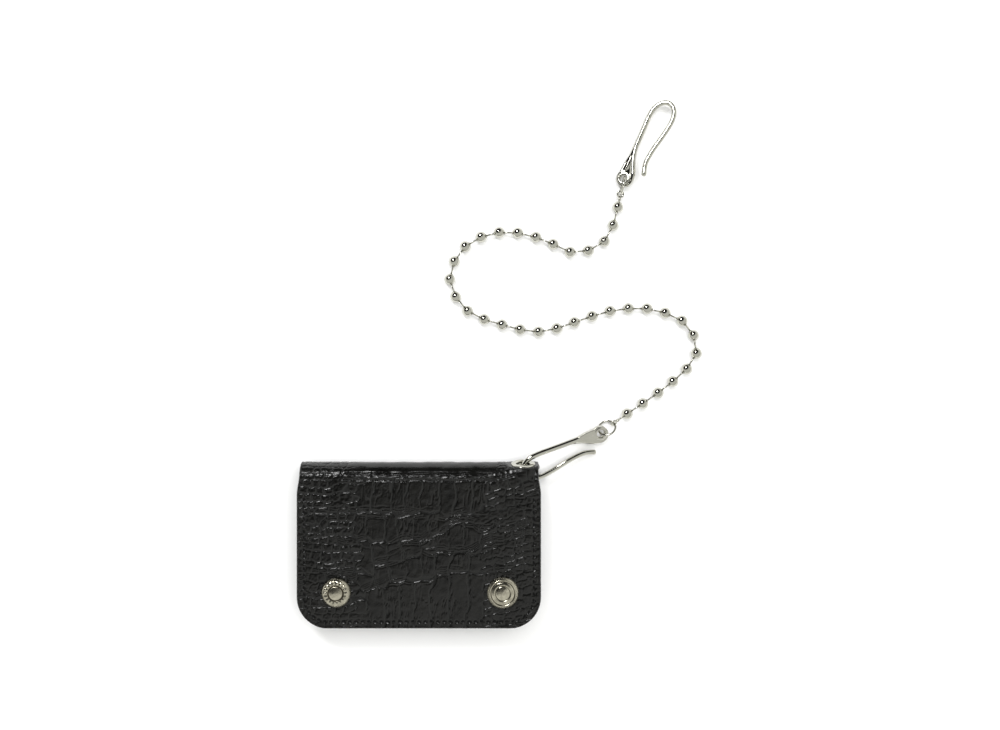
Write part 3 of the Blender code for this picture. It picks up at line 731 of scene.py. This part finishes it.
def stitch_pits(x, s):
    """1 in the small dent round each stitch, falling to 0 beside it."""
    pits = np.zeros(x.shape)
    for middle, _ in stitch_places(stitch_path(STITCH_TOP)):
        for place in (middle.y, BACK_START + FOLD_Y - middle.y):
            near = (np.abs(x - middle.x) < 2.5) & (np.abs(s - place) < 2.5)
            distance = np.hypot(x[near] - middle.x, s[near] - place)
            pits[near] = np.maximum(pits[near], 1 - smoothstep(0.45, 1.25, distance))
    return pits


def on_surface(x, s, height):
    """The point of the leather's face at (x, s), raised along its normal by height."""
    angle = np.clip((s - FOLD_Y) / FOLD_RADIUS, 0, math.pi)
    flat_y = np.where(s < FOLD_Y, s, np.where(s > BACK_START, FOLD_Y - (s - BACK_START), FOLD_Y))
    radius = FOLD_RADIUS + height
    y = flat_y + radius * np.sin(angle)
    z = FOLD_RADIUS + radius * np.cos(angle)
    return x, y, z


def press_pad(x, y, z):
    """Presses the fold flat round the grommet; also gives the distance from its axis."""
    out_y, out_z = math.cos(GROMMET_TILT), math.sin(GROMMET_TILT)
    away = (y - FOLD_Y) * out_y + (z - FOLD_RADIUS) * out_z
    across = -(y - FOLD_Y) * out_z + (z - FOLD_RADIUS) * out_y
    spread = np.hypot(x - GROMMET_X, across)
    weight = (1 - smoothstep(PAD_RADIUS, PAD_EDGE, spread)) * (away > 0)
    pressed = away + (PAD_FACE - away) * weight
    y = y + (pressed - away) * out_y
    z = z + (pressed - away) * out_z
    return np.stack([x, y, z], axis=-1), np.where(away > 0, spread, 99.0)


def row_places(pitch):
    """Places along the leather, crowded where the free corners turn, with one at the seam."""
    extra = CORNER * (1 - np.cos(np.linspace(0, math.pi / 2, 40)))
    below = np.arange(BOTTOM, FOLD_Y, pitch)
    above = np.arange(FOLD_Y, BACK_END, pitch)
    places = np.concatenate([below, above, [BACK_END], BOTTOM + extra, BACK_END - extra])
    places = np.unique(np.round(places, 4))
    return places[np.concatenate([[True], np.diff(places) > 0.06])]


def surface_grid(pitch):
    """The embossed face, the hidden face under it, their normals, and the masks, by rows."""
    rows = row_places(pitch)
    columns = np.linspace(-1, 1, int(2 * HALF_LENGTH / pitch))
    side = 1 - 0.6 / HALF_LENGTH
    columns = np.unique(np.concatenate([columns, [-side, side, -side - 0.004, side + 0.004]]))
    u, s = np.meshgrid(columns, rows)
    x = u * half_width(s)
    height, groove = leather_relief(x, s)
    from_side = half_width(s) * (1 - np.abs(u))
    from_end = np.minimum(s - BOTTOM, BACK_END - s)
    margin = np.minimum(from_side, from_end)
    height *= smoothstep(0.0, 1.6, margin)
    pit = stitch_pits(x, s)
    height = height * (1 - 0.5 * pit) - 0.34 * pit
    rounding = np.clip(EDGE_ROUNDING - margin, 0, EDGE_ROUNDING)
    height -= EDGE_ROUNDING - np.sqrt(np.clip(EDGE_ROUNDING**2 - rounding**2, 0, None))
    outer, spread = press_pad(*on_surface(x, s, height))
    flat, _ = press_pad(*on_surface(x, s, np.zeros(s.shape)))
    out = normals_of(flat)
    inner = flat - (LEATHER - 0.05) * out
    # The stitch pits join the groove mask, so shade is painted darker into them too.
    return rows, outer, inner, normals_of(outer), -out, np.clip(groove + pit, 0, 1), spread


def normals_of(grid):
    """Unit normals of a grid of points, outwards from the leather."""
    along = np.gradient(grid, axis=1)
    up = np.gradient(grid, axis=0)
    normal = np.cross(along, up)
    return normal / np.linalg.norm(normal, axis=-1, keepdims=True)


def leather_sheet(name, part, surface, materials):
    """The rows of the surface picked out by part, as one closed sheet."""
    _, outer, inner, outer_normals, inner_normals, groove, spread = (v[part] for v in surface)
    count = outer.shape[0] * outer.shape[1]
    top = grid_faces(outer.shape[0], outer.shape[1])
    hole = spread.reshape(-1)[top].min(axis=1) < GROMMET_HOLE
    top = top[~hole]
    directed = np.concatenate([top[:, [0, 1]], top[:, [1, 2]], top[:, [2, 3]], top[:, [3, 0]]])
    code = directed[:, 0] * count + directed[:, 1]
    back = directed[:, 1] * count + directed[:, 0]
    border = directed[~np.isin(code, back)]
    walls = np.stack([border[:, 1], border[:, 0], border[:, 0] + count, border[:, 1] + count], axis=-1)
    faces = np.concatenate([top, top[:, ::-1] + count, walls])
    verts = np.concatenate([outer.reshape(-1, 3), inner.reshape(-1, 3)])
    obj = new_object(name, verts.tolist(), faces.tolist(), materials)
    # The groove attribute carries the mask of duller roughness and painted shade to the leather material.
    add_attribute(obj, "groove", np.concatenate([groove.reshape(-1), np.zeros(count)]))
    normals = np.concatenate([outer_normals.reshape(-1, 3), inner_normals.reshape(-1, 3)])[faces]
    corners = verts[faces[-len(walls):]]
    flat = np.cross(corners[:, 2] - corners[:, 0], corners[:, 3] - corners[:, 1])
    flat /= np.maximum(np.linalg.norm(flat, axis=-1, keepdims=True), 1e-9)
    normals[-len(walls):] = flat[:, None, :]
    obj.data.normals_split_custom_set(normals.reshape(-1, 3).tolist())
    slots = np.zeros(len(faces), np.int32)
    slots[-len(walls):] = 1
    obj.data.polygons.foreach_set("material_index", slots)
    return obj


def make_leather(leather, edge):
    """One embossed skin in two sheets, which meet where the flap's side of the fold begins."""
    surface = surface_grid(GRID_PITCH)
    seam = int(np.searchsorted(surface[0], FOLD_Y))
    back = leather_sheet("leather_back_and_fold", slice(seam, None), surface, [leather, edge])
    place_piece(back, BACK, "embossed_leather", "leather_back")
    flap = leather_sheet("leather_flap", slice(0, seam + 1), surface, [leather, edge])
    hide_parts("leather_front")
    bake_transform(flap)


def stitch_path(top):
    """Points (x, y) of the stitch line down one side, along the free edge and up the other."""
    radius = CORNER - STITCH_INSET
    side = HALF_LENGTH - STITCH_INSET
    low = BOTTOM + STITCH_INSET
    path = [(-side, top)]
    for center_x, start in ((radius - side, 180), (side - radius, 270)):
        for i in range(13):
            a = math.radians(start + 90 * i / 12)
            path.append((center_x + radius * math.cos(a), low + radius + radius * math.sin(a)))
    path.append((side, top))
    return [Vector(p) for p in path]


def stitch_places(path):
    """Middle and direction of each stitch along a path."""
    lengths = [(b - a).length for a, b in zip(path, path[1:])]
    count = int(sum(lengths) / STITCH_PITCH)
    pitch = sum(lengths) / count
    places = []
    walked = 0.0
    for a, b, run in zip(path, path[1:], lengths):
        while len(places) < count and walked + run >= pitch * (len(places) + 0.5):
            part = (pitch * (len(places) + 0.5) - walked) / run
            places.append((a.lerp(b, part), (b - a).normalized()))
        walked += run
    return places


def stitches(name, path, height, body, thread, face=1):
    """A row of separate stitches along a path, lying in the leather at this height."""
    bm = bmesh.new()
    for middle, ahead in stitch_places(path):
        across = Vector((-ahead.y, ahead.x))
        reach = (ahead + across * 0.3 * face).normalized() * 1.05
        points = []
        for part, sink in ((-1, 0.4), (-0.75, 0.08), (0, 0), (0.75, 0.08), (1, 0.4)):
            points.append(Vector((*(middle + reach * part), height - sink * face)))
        tube_mesh(bm, points, [0.18, 0.34, 0.4, 0.34, 0.18], 8)
    obj = bm_object(name, bm, [thread])
    place_piece(obj, body, "zip_textile")


# ---- inner layers


def hash_of(text):
    """A small number from a name, the same on each run."""
    return sum(ord(letter) * (i + 1) for i, letter in enumerate(text)) % 1000


def panel(node, body, slot, material, round_corners=True, wave=0.1):
    """A sewn leather or lining layer in its node's place, with soft edges and an uneven face.

    The rim's left side has one straight wall, from its last row to its first.
    """
    low, high = node_box(node)
    rows = np.unique(np.concatenate([
        np.linspace(low.y, high.y, max(int((high.y - low.y) / 1.2), 3)),
        low.y + 0.25 * np.arange(4), high.y - 0.25 * np.arange(4),
    ]))
    side = (high.x - low.x) / 2
    middle = (high.x + low.x) / 2
    if round_corners:
        radius = CORNER - 0.5
        corner = low.y + radius * (1 - np.cos(np.linspace(0, math.pi / 2, 16)))
        rows = np.unique(np.round(np.concatenate([rows, corner]), 3))
        inner = np.clip(radius - (rows - low.y), 0, radius)
        widths = side - radius + np.sqrt(radius**2 - inner**2)
    else:
        widths = np.full(rows.shape, side)
    edge = 0.25 / side
    columns = np.unique(np.concatenate([
        np.linspace(-1, 1, int(2 * side / 1.2)), [-1 + edge, 1 - edge, -1 + 2 * edge, 1 - 2 * edge],
    ]))
    u, y = np.meshgrid(columns, rows)
    x = middle + u * widths[:, None]
    margin = np.minimum(widths[:, None] * (1 - np.abs(u)), np.minimum(y - low.y, high.y - y))
    half = (high.z - low.z) / 2
    soft = half * (1 - np.sqrt(1 - np.clip(1 - margin / 0.5, 0, 1) ** 2)) * 0.8
    uneven = wave * 0.5 * (value_noise(x, y, 9.0, hash_of(node)) - 1) * smoothstep(0, 3, margin)
    top = high.z - soft + uneven
    bottom = low.z + soft * 0.6
    count = x.size
    verts = np.concatenate([
        np.stack([x, y, top], axis=-1).reshape(-1, 3), np.stack([x, y, bottom], axis=-1).reshape(-1, 3),
    ])
    upper = grid_faces(*u.shape)
    lower = upper[:, ::-1] + count
    index = np.arange(count).reshape(u.shape)
    rim = np.concatenate([index[0, :], index[1:, -1], index[-1, -2::-1]])
    turn = np.roll(rim, -1)
    walls = np.stack([rim, rim + count, turn + count, turn], axis=-1)
    faces = upper.tolist() + lower.tolist() + walls.tolist()
    obj = new_object(f"{node}_sewn", verts.tolist(), faces, [material])
    obj.data.set_sharp_from_angle(angle=math.radians(60))
    place_piece(obj, body, slot, node)


# The rounded layers, from the back of the wallet to its front: node, body and slot
LAYERS = [
    ("back_lining", BACK, "lining"),
    ("bill_divider", BACK, "pocket_leather"),
    ("card_pocket_rear", BACK, "pocket_leather"),
    ("card_pocket_front", BACK, "pocket_leather"),
    ("coin_pocket_back", BACK, "lining"),
    ("coin_front_lower", BACK, "pocket_leather"),
    ("flap_lining", FLAP, "lining"),
    ("slip_pocket_rear", FLAP, "pocket_leather"),
    ("slip_pocket_front", FLAP, "pocket_leather"),
]


def seam_place(node, body):
    """A layer's box, with the height and the facing of the stitches on its open side."""
    low, high = node_box(node)
    if body == BACK:
        return low, high, high.z - SEAM_SINK, 1
    return low, high, low.z + SEAM_SINK, -1


def make_layers(leather, lining, textile, thread):
    """Linings, pockets and zipper tapes, with their stitch rows."""
    materials = {"lining": lining, "pocket_leather": leather}
    for node, body, slot in LAYERS:
        panel(node, body, slot, materials[slot])
    panel("coin_front_upper", BACK, "pocket_leather", leather, round_corners=False)
    for side in ("upper", "lower"):
        panel(f"zip_tape_{side}", BACK, "zip_textile", textile, round_corners=False, wave=0.02)
    for node, body, slot in LAYERS:
        if slot == "pocket_leather":
            low, high, height, face = seam_place(node, body)
            line = [Vector((low.x + 5, high.y - 2.2)), Vector((high.x - 5, high.y - 2.2))]
            stitches(f"{node}_stitches", line, height, body, thread, face)
    for node, body in (("coin_front_lower", BACK), ("slip_pocket_front", FLAP)):
        _, high, height, face = seam_place(node, body)
        stitches(f"{node}_edge_stitches", stitch_path(high.y - 5), height, body, thread, face)
    low, high, height, _ = seam_place("coin_front_upper", BACK)
    line = [Vector((low.x + 5, low.y + 1.6)), Vector((high.x - 5, low.y + 1.6))]
    stitches("coin_front_upper_stitches", line, height, BACK, thread)


# ---- zipper


def make_coil(side, direction, textile):
    """One half of the coil: a row of round loops that lean into the other half's gaps."""
    low, high = node_box(f"zip_coil_{side}")
    bm = bmesh.new()
    count = int((high.x - low.x) / COIL_PITCH)
    root = high.y if direction > 0 else low.y
    tip = low.y if direction > 0 else high.y
    lag = 0.0 if direction > 0 else 0.45 * COIL_PITCH
    middle = (low.z + high.z) / 2
    for i in range(count):
        x = low.x + COIL_PITCH / 2 + COIL_PITCH * i + lag
        points = [
            Vector((x - 0.25, root, middle + 0.28)), Vector((x - 0.2, (root + tip) / 2, middle + 0.3)),
            Vector((x, tip + direction * 0.22, middle)),
            Vector((x + 0.2, (root + tip) / 2, middle - 0.3)), Vector((x + 0.25, root, middle - 0.28)),
        ]
        tube_mesh(bm, points, [0.2, 0.2, 0.24, 0.2, 0.2], 6)
    core_y = root - direction * 0.25
    core = [Vector((low.x, core_y, middle)), Vector((high.x, core_y, middle))]
    tube_mesh(bm, core, [0.25, 0.25], 6)
    coil = bm_object(f"zip_coil_{side}_loops", bm, [textile])
    place_piece(coil, BACK, "zip_textile", f"zip_coil_{side}")


# ---- snaps and grommet


def bead_ring_relief(size):
    """A plain low dome inside a ring of small even beads."""
    def relief(radius, angle):
        t = radius / size
        beads = bell(t, 0.72, 0.1) * (0.5 + 0.5 * math.cos(18 * angle))
        uneven = 0.02 * math.sin(4 * angle + 7 * t) * t
        return 0.05 + 0.26 * beads - 0.25 * bell(t, 0.5, 0.05) + 0.12 * bell(t, 0, 0.32) + uneven
    return relief


def ring_relief(size):
    """A low domed centre inside two plain cut rings."""
    def relief(radius, angle):
        t = radius / size
        rings = bell(t, 0.46, 0.04) + bell(t, 0.74, 0.045)
        uneven = 0.02 * math.sin(5 * angle + 9 * t) * t
        return 0.2 - 0.3 * min(rings, 1) + 0.1 * bell(t, 0, 0.3) + uneven
    return relief


def make_cap(side, relief, material):
    """A domed snap cap with its relief; the groove mask is high in the low places."""
    x, size = SNAPS[side]
    profile = []
    for i in range(60):
        t = i / 59
        drop = 0.9 * t**2 if t < 0.8 else 0.576 + 1.45 * ((t - 0.8) / 0.2) ** 1.6
        profile.append((size * t, CAP_BASE + CAP_RISE - drop))
    profile += [(size, CAP_BASE + 0.25), (size - 0.3, CAP_BASE), (0.0, CAP_BASE)]
    face = len(profile) - 3
    turn = [2 * math.pi * j / CAP_STEPS for j in range(CAP_STEPS)]
    verts, marks = [], []
    for i, (radius, z) in enumerate(profile):
        for angle in turn:
            raised = relief(radius, angle) if i < face and radius < 0.86 * size else 0.0
            verts.append((x + radius * math.cos(angle), SNAP_Y + radius * math.sin(angle), z + raised))
            outer = smoothstep(0.8, 0.95, radius / size)
            marks.append(float(np.clip(0.5 - raised / 0.16, 0, 1) * (1 - outer) + 0.12 * outer))
    faces = []
    for i in range(len(profile) - 1):
        faces += ring_faces((i + 1) * CAP_STEPS, i * CAP_STEPS, CAP_STEPS)
    obj = new_object(f"cap_{side}_relief", verts, faces, [material])
    add_attribute(obj, "groove", marks)
    close_seams(obj)
    place_piece(obj, FLAP, "aged_silver", f"snap_cap_{side}")


def make_snap_insides(side, nickel):
    """Socket under the flap, and stud and rivet on the coin pocket."""
    x, _ = SNAPS[side]
    place = Matrix.Translation((x, SNAP_Y, 0))
    socket = revolve(
        f"socket_{side}_turned",
        [(4.6, 11.6), (4.6, 10.4), (4.35, 9.95), (3.9, 9.8), (3.4, 9.95), (3.0, 10.1), (2.7, 9.9),
         (2.3, 9.95), (2.3, 11.15), (0, 11.15), (0, 11.6)],
        place, [nickel],
    )
    place_piece(socket, FLAP, "nickel", f"snap_socket_{side}")
    stud = revolve(
        f"stud_{side}_turned",
        [(0, 11.0), (1.3, 10.95), (1.75, 10.75), (1.9, 10.45), (1.75, 10.2), (1.5, 10.0), (1.5, 9.65),
         (2.2, 9.5), (3.6, 9.45), (4.0, 9.25), (4.0, 9.0), (0, 9.0)],
        place, [nickel],
    )
    place_piece(stud, BACK, "nickel", f"snap_stud_{side}")
    dress(f"stud_rivet_{side}", nickel)


def make_grommet(nickel):
    """Polished eyelet with a rolled flange, and its inner lip."""
    out = Vector((0, math.cos(GROMMET_TILT), math.sin(GROMMET_TILT)))
    x = Vector((1, 0, 0))
    place = frame_from(x, out.cross(x), Vector((GROMMET_X, FOLD_Y, FOLD_RADIUS)))
    profile = [(5.7, 7.72), (5.72, 7.9), (5.6, 8.08), (5.2, 8.26), (4.6, 8.36), (4.0, 8.32), (3.5, 8.15),
               (3.25, 7.85), (3.2, 7.4), (3.2, 5.5), (3.25, 5.25), (3.45, 5.1), (4.05, 5.1), (4.05, 5.4),
               (3.45, 5.45), (3.45, 7.72)]
    eyelet = revolve("grommet_polished", profile, place, [nickel], 96)
    place_piece(eyelet, BACK, "nickel", "grommet_eyelet")
    dress("grommet_washer", nickel)


# ---- hooks


def hook_frame(eye, shank, tilt, side):
    """Where a hook lies: its eye, its shank's direction, and its arm's tilt and side."""
    level = Vector((-shank.y, shank.x, 0)).normalized() * side
    arm = Matrix.Rotation(tilt, 3, shank) @ level
    place = frame_from(shank, arm, Vector((0, 0, 0)))
    return Matrix.Translation(eye - place @ HOOK_EYE) @ place


def paddle_points():
    """Outline of the eye end: a round that draws in to the shank on both sides."""
    points = []
    for i in range(29):
        a = math.radians(58 + 244 * i / 28)
        points.append((0.3 + 4.2 * math.cos(a), 1.5 + 4.2 * math.sin(a)))
    lower = smooth_line([(2.6, -2.1), (6.5, -1.9), (10, -1.3), (15, -0.3)], 4)
    upper = smooth_line([(15, 0.3), (10, 1.6), (6.5, 3.4), (2.6, 5.0)], 4)
    return points + lower + upper


def make_hook(name, node, place, nickel):
    """Cast hook: wire, flat eye end with a bossed hole and a hollow behind it, all melted together."""
    line = [p.to_3d() for p in smooth_line(HOOK_LINE, 8)]
    count = len(line)
    radii = []
    for i in range(count):
        t = i / (count - 1)
        swell = 1 + 0.06 * (t - 0.93) / 0.07 if t > 0.93 else 1
        radii.append(HOOK_WIRE * (1.05 - 0.1 * t) * swell)
    bm = bmesh.new()
    tube_mesh(bm, line, radii, 24)
    tip = bmesh.ops.create_uvsphere(bm, u_segments=20, v_segments=12, radius=radii[-1])
    bmesh.ops.translate(bm, verts=tip["verts"], vec=line[-1])
    prism(bm, paddle_points(), -PLATE_HALF, PLATE_HALF)
    boss = bmesh.ops.create_cone(
        bm, cap_ends=True, segments=40, radius1=BOSS_RADIUS, radius2=BOSS_RADIUS, depth=BOSS_HEIGHT
    )
    bmesh.ops.translate(bm, verts=boss["verts"], vec=HOOK_EYE)
    ridge = smooth_line([(-3.2, 4.1), (0.3, 4.9), (4, 4.1), (8, 2.3), (12, 0.9), (17, 0.1)], 5)
    ridge = [p.to_3d() - Vector((0, 0, 0.3)) for p in ridge]
    parts = [i / (len(ridge) - 1) for i in range(len(ridge))]
    tube_mesh(bm, ridge, [0.45 + 0.95 * min(3 * t, 1) - 0.25 * t for t in parts], 20)
    hook = bm_object(name, bm, [nickel])
    melt = hook.modifiers.new("melt", "REMESH")
    melt.mode = "VOXEL"
    melt.voxel_size = CAST_VOXEL * MM
    ease = hook.modifiers.new("ease", "SMOOTH")
    ease.factor = 0.5
    ease.iterations = 7
    cutter = hole_cutter()
    hole = hook.modifiers.new("eye", "BOOLEAN")
    hole.operation = "DIFFERENCE"
    hole.object = cutter
    hook = applied(hook)
    bpy.data.objects.remove(cutter)
    round_eye(hook)
    scaled = Matrix.Scale(MM, 4) @ place @ Matrix.Scale(1 / MM, 4)
    hook.data.transform(scaled)
    hook.data.shade_smooth()
    hook.data.set_sharp_from_angle(angle=math.radians(48))
    place_piece(hook, node, "nickel", node)


def hole_cutter():
    """The eye's hole with its rounded mouths, and the three-sided hollow beside it on one face."""
    bm = bmesh.new()
    profile = [(EYE_HOLE, 0.75), (1.95, 1.1), (2.2, 1.35), (2.6, 1.5), (2.6, 3.0)]
    rings = [(r, -z) for r, z in reversed(profile)] + profile
    points = [Vector((0, 0, z)) for _, z in rings]
    tube_mesh(bm, points, [r for r, _ in rings], 40)
    bmesh.ops.translate(bm, verts=bm.verts, vec=HOOK_EYE)
    prism(bm, [(2.6, 0.2), (3.0, 3.0), (8.6, 1.1)], -3, -0.35)
    return bm_object("eye_cutter", bm, [])


def round_eye(hook):
    """Softens the cut edges of the eye by a light smoothing of the points near them."""
    bm = bmesh.new()
    bm.from_mesh(hook.data)
    near = [v for v in bm.verts if v.co.x < 0.009]
    for _ in range(2):
        bmesh.ops.smooth_vert(bm, verts=near, factor=0.4, use_axis_x=True, use_axis_y=True, use_axis_z=True)
    bm.to_mesh(hook.data)
    bm.free()


# ---- rings, connectors, chain


def ring_mesh(bm, place, radius, wire, steps=72, sides=14, gap=0.0):
    """A wire ring about place's Z; with a gap it is cut through once."""
    turn = 2 * math.pi - gap
    points = [
        place @ Vector((radius * math.cos(turn * i / steps), radius * math.sin(turn * i / steps), 0))
        for i in range(steps + 1)
    ]
    tube_mesh(bm, points, [wire] * len(points), sides)


def make_ring(name, node, center, toward, lean, radius, nickel):
    """A jump ring with the fine cut where its wire ends meet."""
    level = Vector((toward.y, -toward.x, 0)).normalized()
    rise = level * math.cos(lean) + Vector((0, 0, math.sin(lean)))
    place = frame_from(toward, rise, center) @ Matrix.Rotation(math.radians(100), 4, "Z")
    bm = bmesh.new()
    ring_mesh(bm, place, radius, RING_WIRE, gap=0.03)
    nickel_piece(name, bm, node, nickel)


def make_connector(name, node, eyelet, bead, through, nickel):
    """A small cast eyelet whose bell-shaped neck holds the first pin."""
    along = (bead - eyelet).normalized()
    plane = frame_from(along, through.cross(along), eyelet)
    bm = bmesh.new()
    ring_mesh(bm, plane, EYELET_RADIUS, EYELET_WIRE, 48, 12)
    start = eyelet + along * EYELET_RADIUS
    neck = [start + along * d for d in (-0.1, 0.35, 0.8, 1.3, 1.75)]
    tube_mesh(bm, neck, [0.45, 0.62, 0.8, 0.78, 0.5], 16)
    end = bead - along * (BEAD_RADIUS - BEAD_WALL / 2 - PIN_HEAD_DEPTH)
    tube_mesh(bm, [start + along * 1.0, end], [PIN_RADIUS] * 2, 12)
    nickel_piece(name, bm, node, nickel)


def bead_centers():
    """The balls' centres, evenly spaced along the route and resting on the table."""
    line = [p.to_3d() for p in smooth_line(CHAIN_ROUTE, 24)]
    lengths = [(b - a).length for a, b in zip(line, line[1:])]
    pitch = sum(lengths) / (BEADS - 1)
    centers = [line[0]]
    walked = 0.0
    for start, end, length in zip(line, line[1:], lengths):
        while len(centers) < BEADS and walked + length >= pitch * len(centers) - 1e-6:
            centers.append(start.lerp(end, (pitch * len(centers) - walked) / length))
        walked += length
    return [c + Vector((0, 0, BEAD_RADIUS)) for c in centers]


def bead_mesh(bm, center, toward_back, toward_front):
    """A ball with a dent and a small rolled lip at each of its two holes."""
    ball = bmesh.ops.create_uvsphere(bm, u_segments=36, v_segments=24, radius=BEAD_RADIUS)
    back = (toward_back - center).normalized()
    front = (toward_front - center).normalized()
    axis = (front - back).normalized()
    turn = axis.to_track_quat("Z", "Y").to_matrix()
    for vert in ball["verts"]:
        vert.co = turn @ vert.co
    for way in (back, front):
        for vert in ball["verts"]:
            out = vert.co.normalized()
            angle = out.angle(way)
            if angle < DENT_ANGLE:
                vert.co = out * (BEAD_RADIUS - DENT_DEPTH * (1 - angle / DENT_ANGLE) ** 0.6)
        lip = frame_from(way.orthogonal(), way.cross(way.orthogonal()), center + way * (BEAD_RADIUS - 0.14))
        ring_mesh(bm, lip, 0.86, 0.13, 24, 8)
    bmesh.ops.translate(bm, verts=ball["verts"], vec=center)


def make_chain(nickel):
    """Groups of balls and their pins, one piece to each body; gives the balls' centres."""
    centers = bead_centers()
    ends = [WALLET_EYELET, *centers, BELT_EYELET]
    first = 0
    for index, size in enumerate(GROUP_SIZES, start=1):
        bm = bmesh.new()
        last = first + size
        for i in range(first, last):
            bead_mesh(bm, centers[i], ends[i], ends[i + 2])
        line = centers[first:last]
        start = line[0] + (line[1] - line[0]).normalized() * (BEAD_RADIUS - BEAD_WALL)
        if last < BEADS:
            stop = centers[last] + (line[-1] - centers[last]).normalized() * (BEAD_RADIUS - BEAD_WALL / 2)
            stop += (centers[last] - line[-1]).normalized() * PIN_HEAD_DEPTH
            points = [start, *line[1:], stop]
        else:
            points = [start, line[-1]]
        for a, b in zip(points, points[1:]):
            tube_mesh(bm, [a, b], [PIN_RADIUS] * 2, 12)
        nickel_piece(f"beads_{index:02d}", bm, f"chain_{index:02d}", nickel)
        first = last
    return centers


def make_metal(nickel):
    """Both clasps, the chain, and a ring and a connector at each of its ends."""
    wallet_place = hook_frame(WALLET_EYE, WALLET_SHANK, -HOOK_TILT, 1)
    belt_place = hook_frame(BELT_EYE, BELT_SHANK, -HOOK_TILT, -1)
    make_hook("wallet_hook_cast", "wallet_hook", wallet_place, nickel)
    make_hook("belt_hook_cast", "belt_hook", belt_place, nickel)
    centers = make_chain(nickel)

    reach = WALLET_EYELET - WALLET_EYE
    make_ring("wallet_ring_wire", "wallet_ring", WALLET_EYE + reach / 2, reach, WALLET_RING_LEAN,
              reach.length / 2, nickel)
    side = Vector((reach.y, -reach.x, 0)).normalized()
    through = side * math.cos(WALLET_RING_LEAN) + Vector((0, 0, math.sin(WALLET_RING_LEAN)))
    make_connector("wallet_connector_cast", "wallet_connector", WALLET_EYELET, centers[0], through, nickel)

    span = BELT_EYE - BELT_EYELET
    middle = BELT_EYELET + span / 2
    middle.z += math.sqrt(BELT_RING_RADIUS**2 - (span.length / 2) ** 2)
    make_ring("belt_ring_wire", "belt_ring", middle, span, math.pi / 2, BELT_RING_RADIUS, nickel)
    through = Vector((0, 0, 1))
    make_connector("belt_connector_cast", "belt_connector", BELT_EYELET, centers[-1], through, nickel)


# ---- the whole


make_studio()
leather, pocket, lining = embossed_leather(), pocket_leather(), lining_material()
textile, thread, edge = woven_textile(), thread_material(), edge_material()
nickel, silver = nickel_material(), aged_silver_material()

make_leather(leather, edge)
stitches("flap_stitches", stitch_path(STITCH_TOP), THICKNESS - STITCH_DEPTH, FLAP, thread)
stitches("back_stitches", stitch_path(STITCH_TOP), STITCH_DEPTH, BACK, thread, face=-1)
make_layers(pocket, lining, textile, thread)
make_coil("upper", 1, textile)
make_coil("lower", -1, textile)
soften("zip_slider", nickel, 0.25)
soften("zip_pull", nickel, 0.15)
for stop_side in ("left", "right"):
    soften(f"zip_stop_{stop_side}", nickel, 0.12)
make_cap("left", bead_ring_relief(SNAPS["left"][1]), silver)
make_cap("right", ring_relief(SNAPS["right"][1]), silver)
for snap_side in SNAPS:
    make_snap_insides(snap_side, nickel)
make_grommet(nickel)
make_metal(nickel)
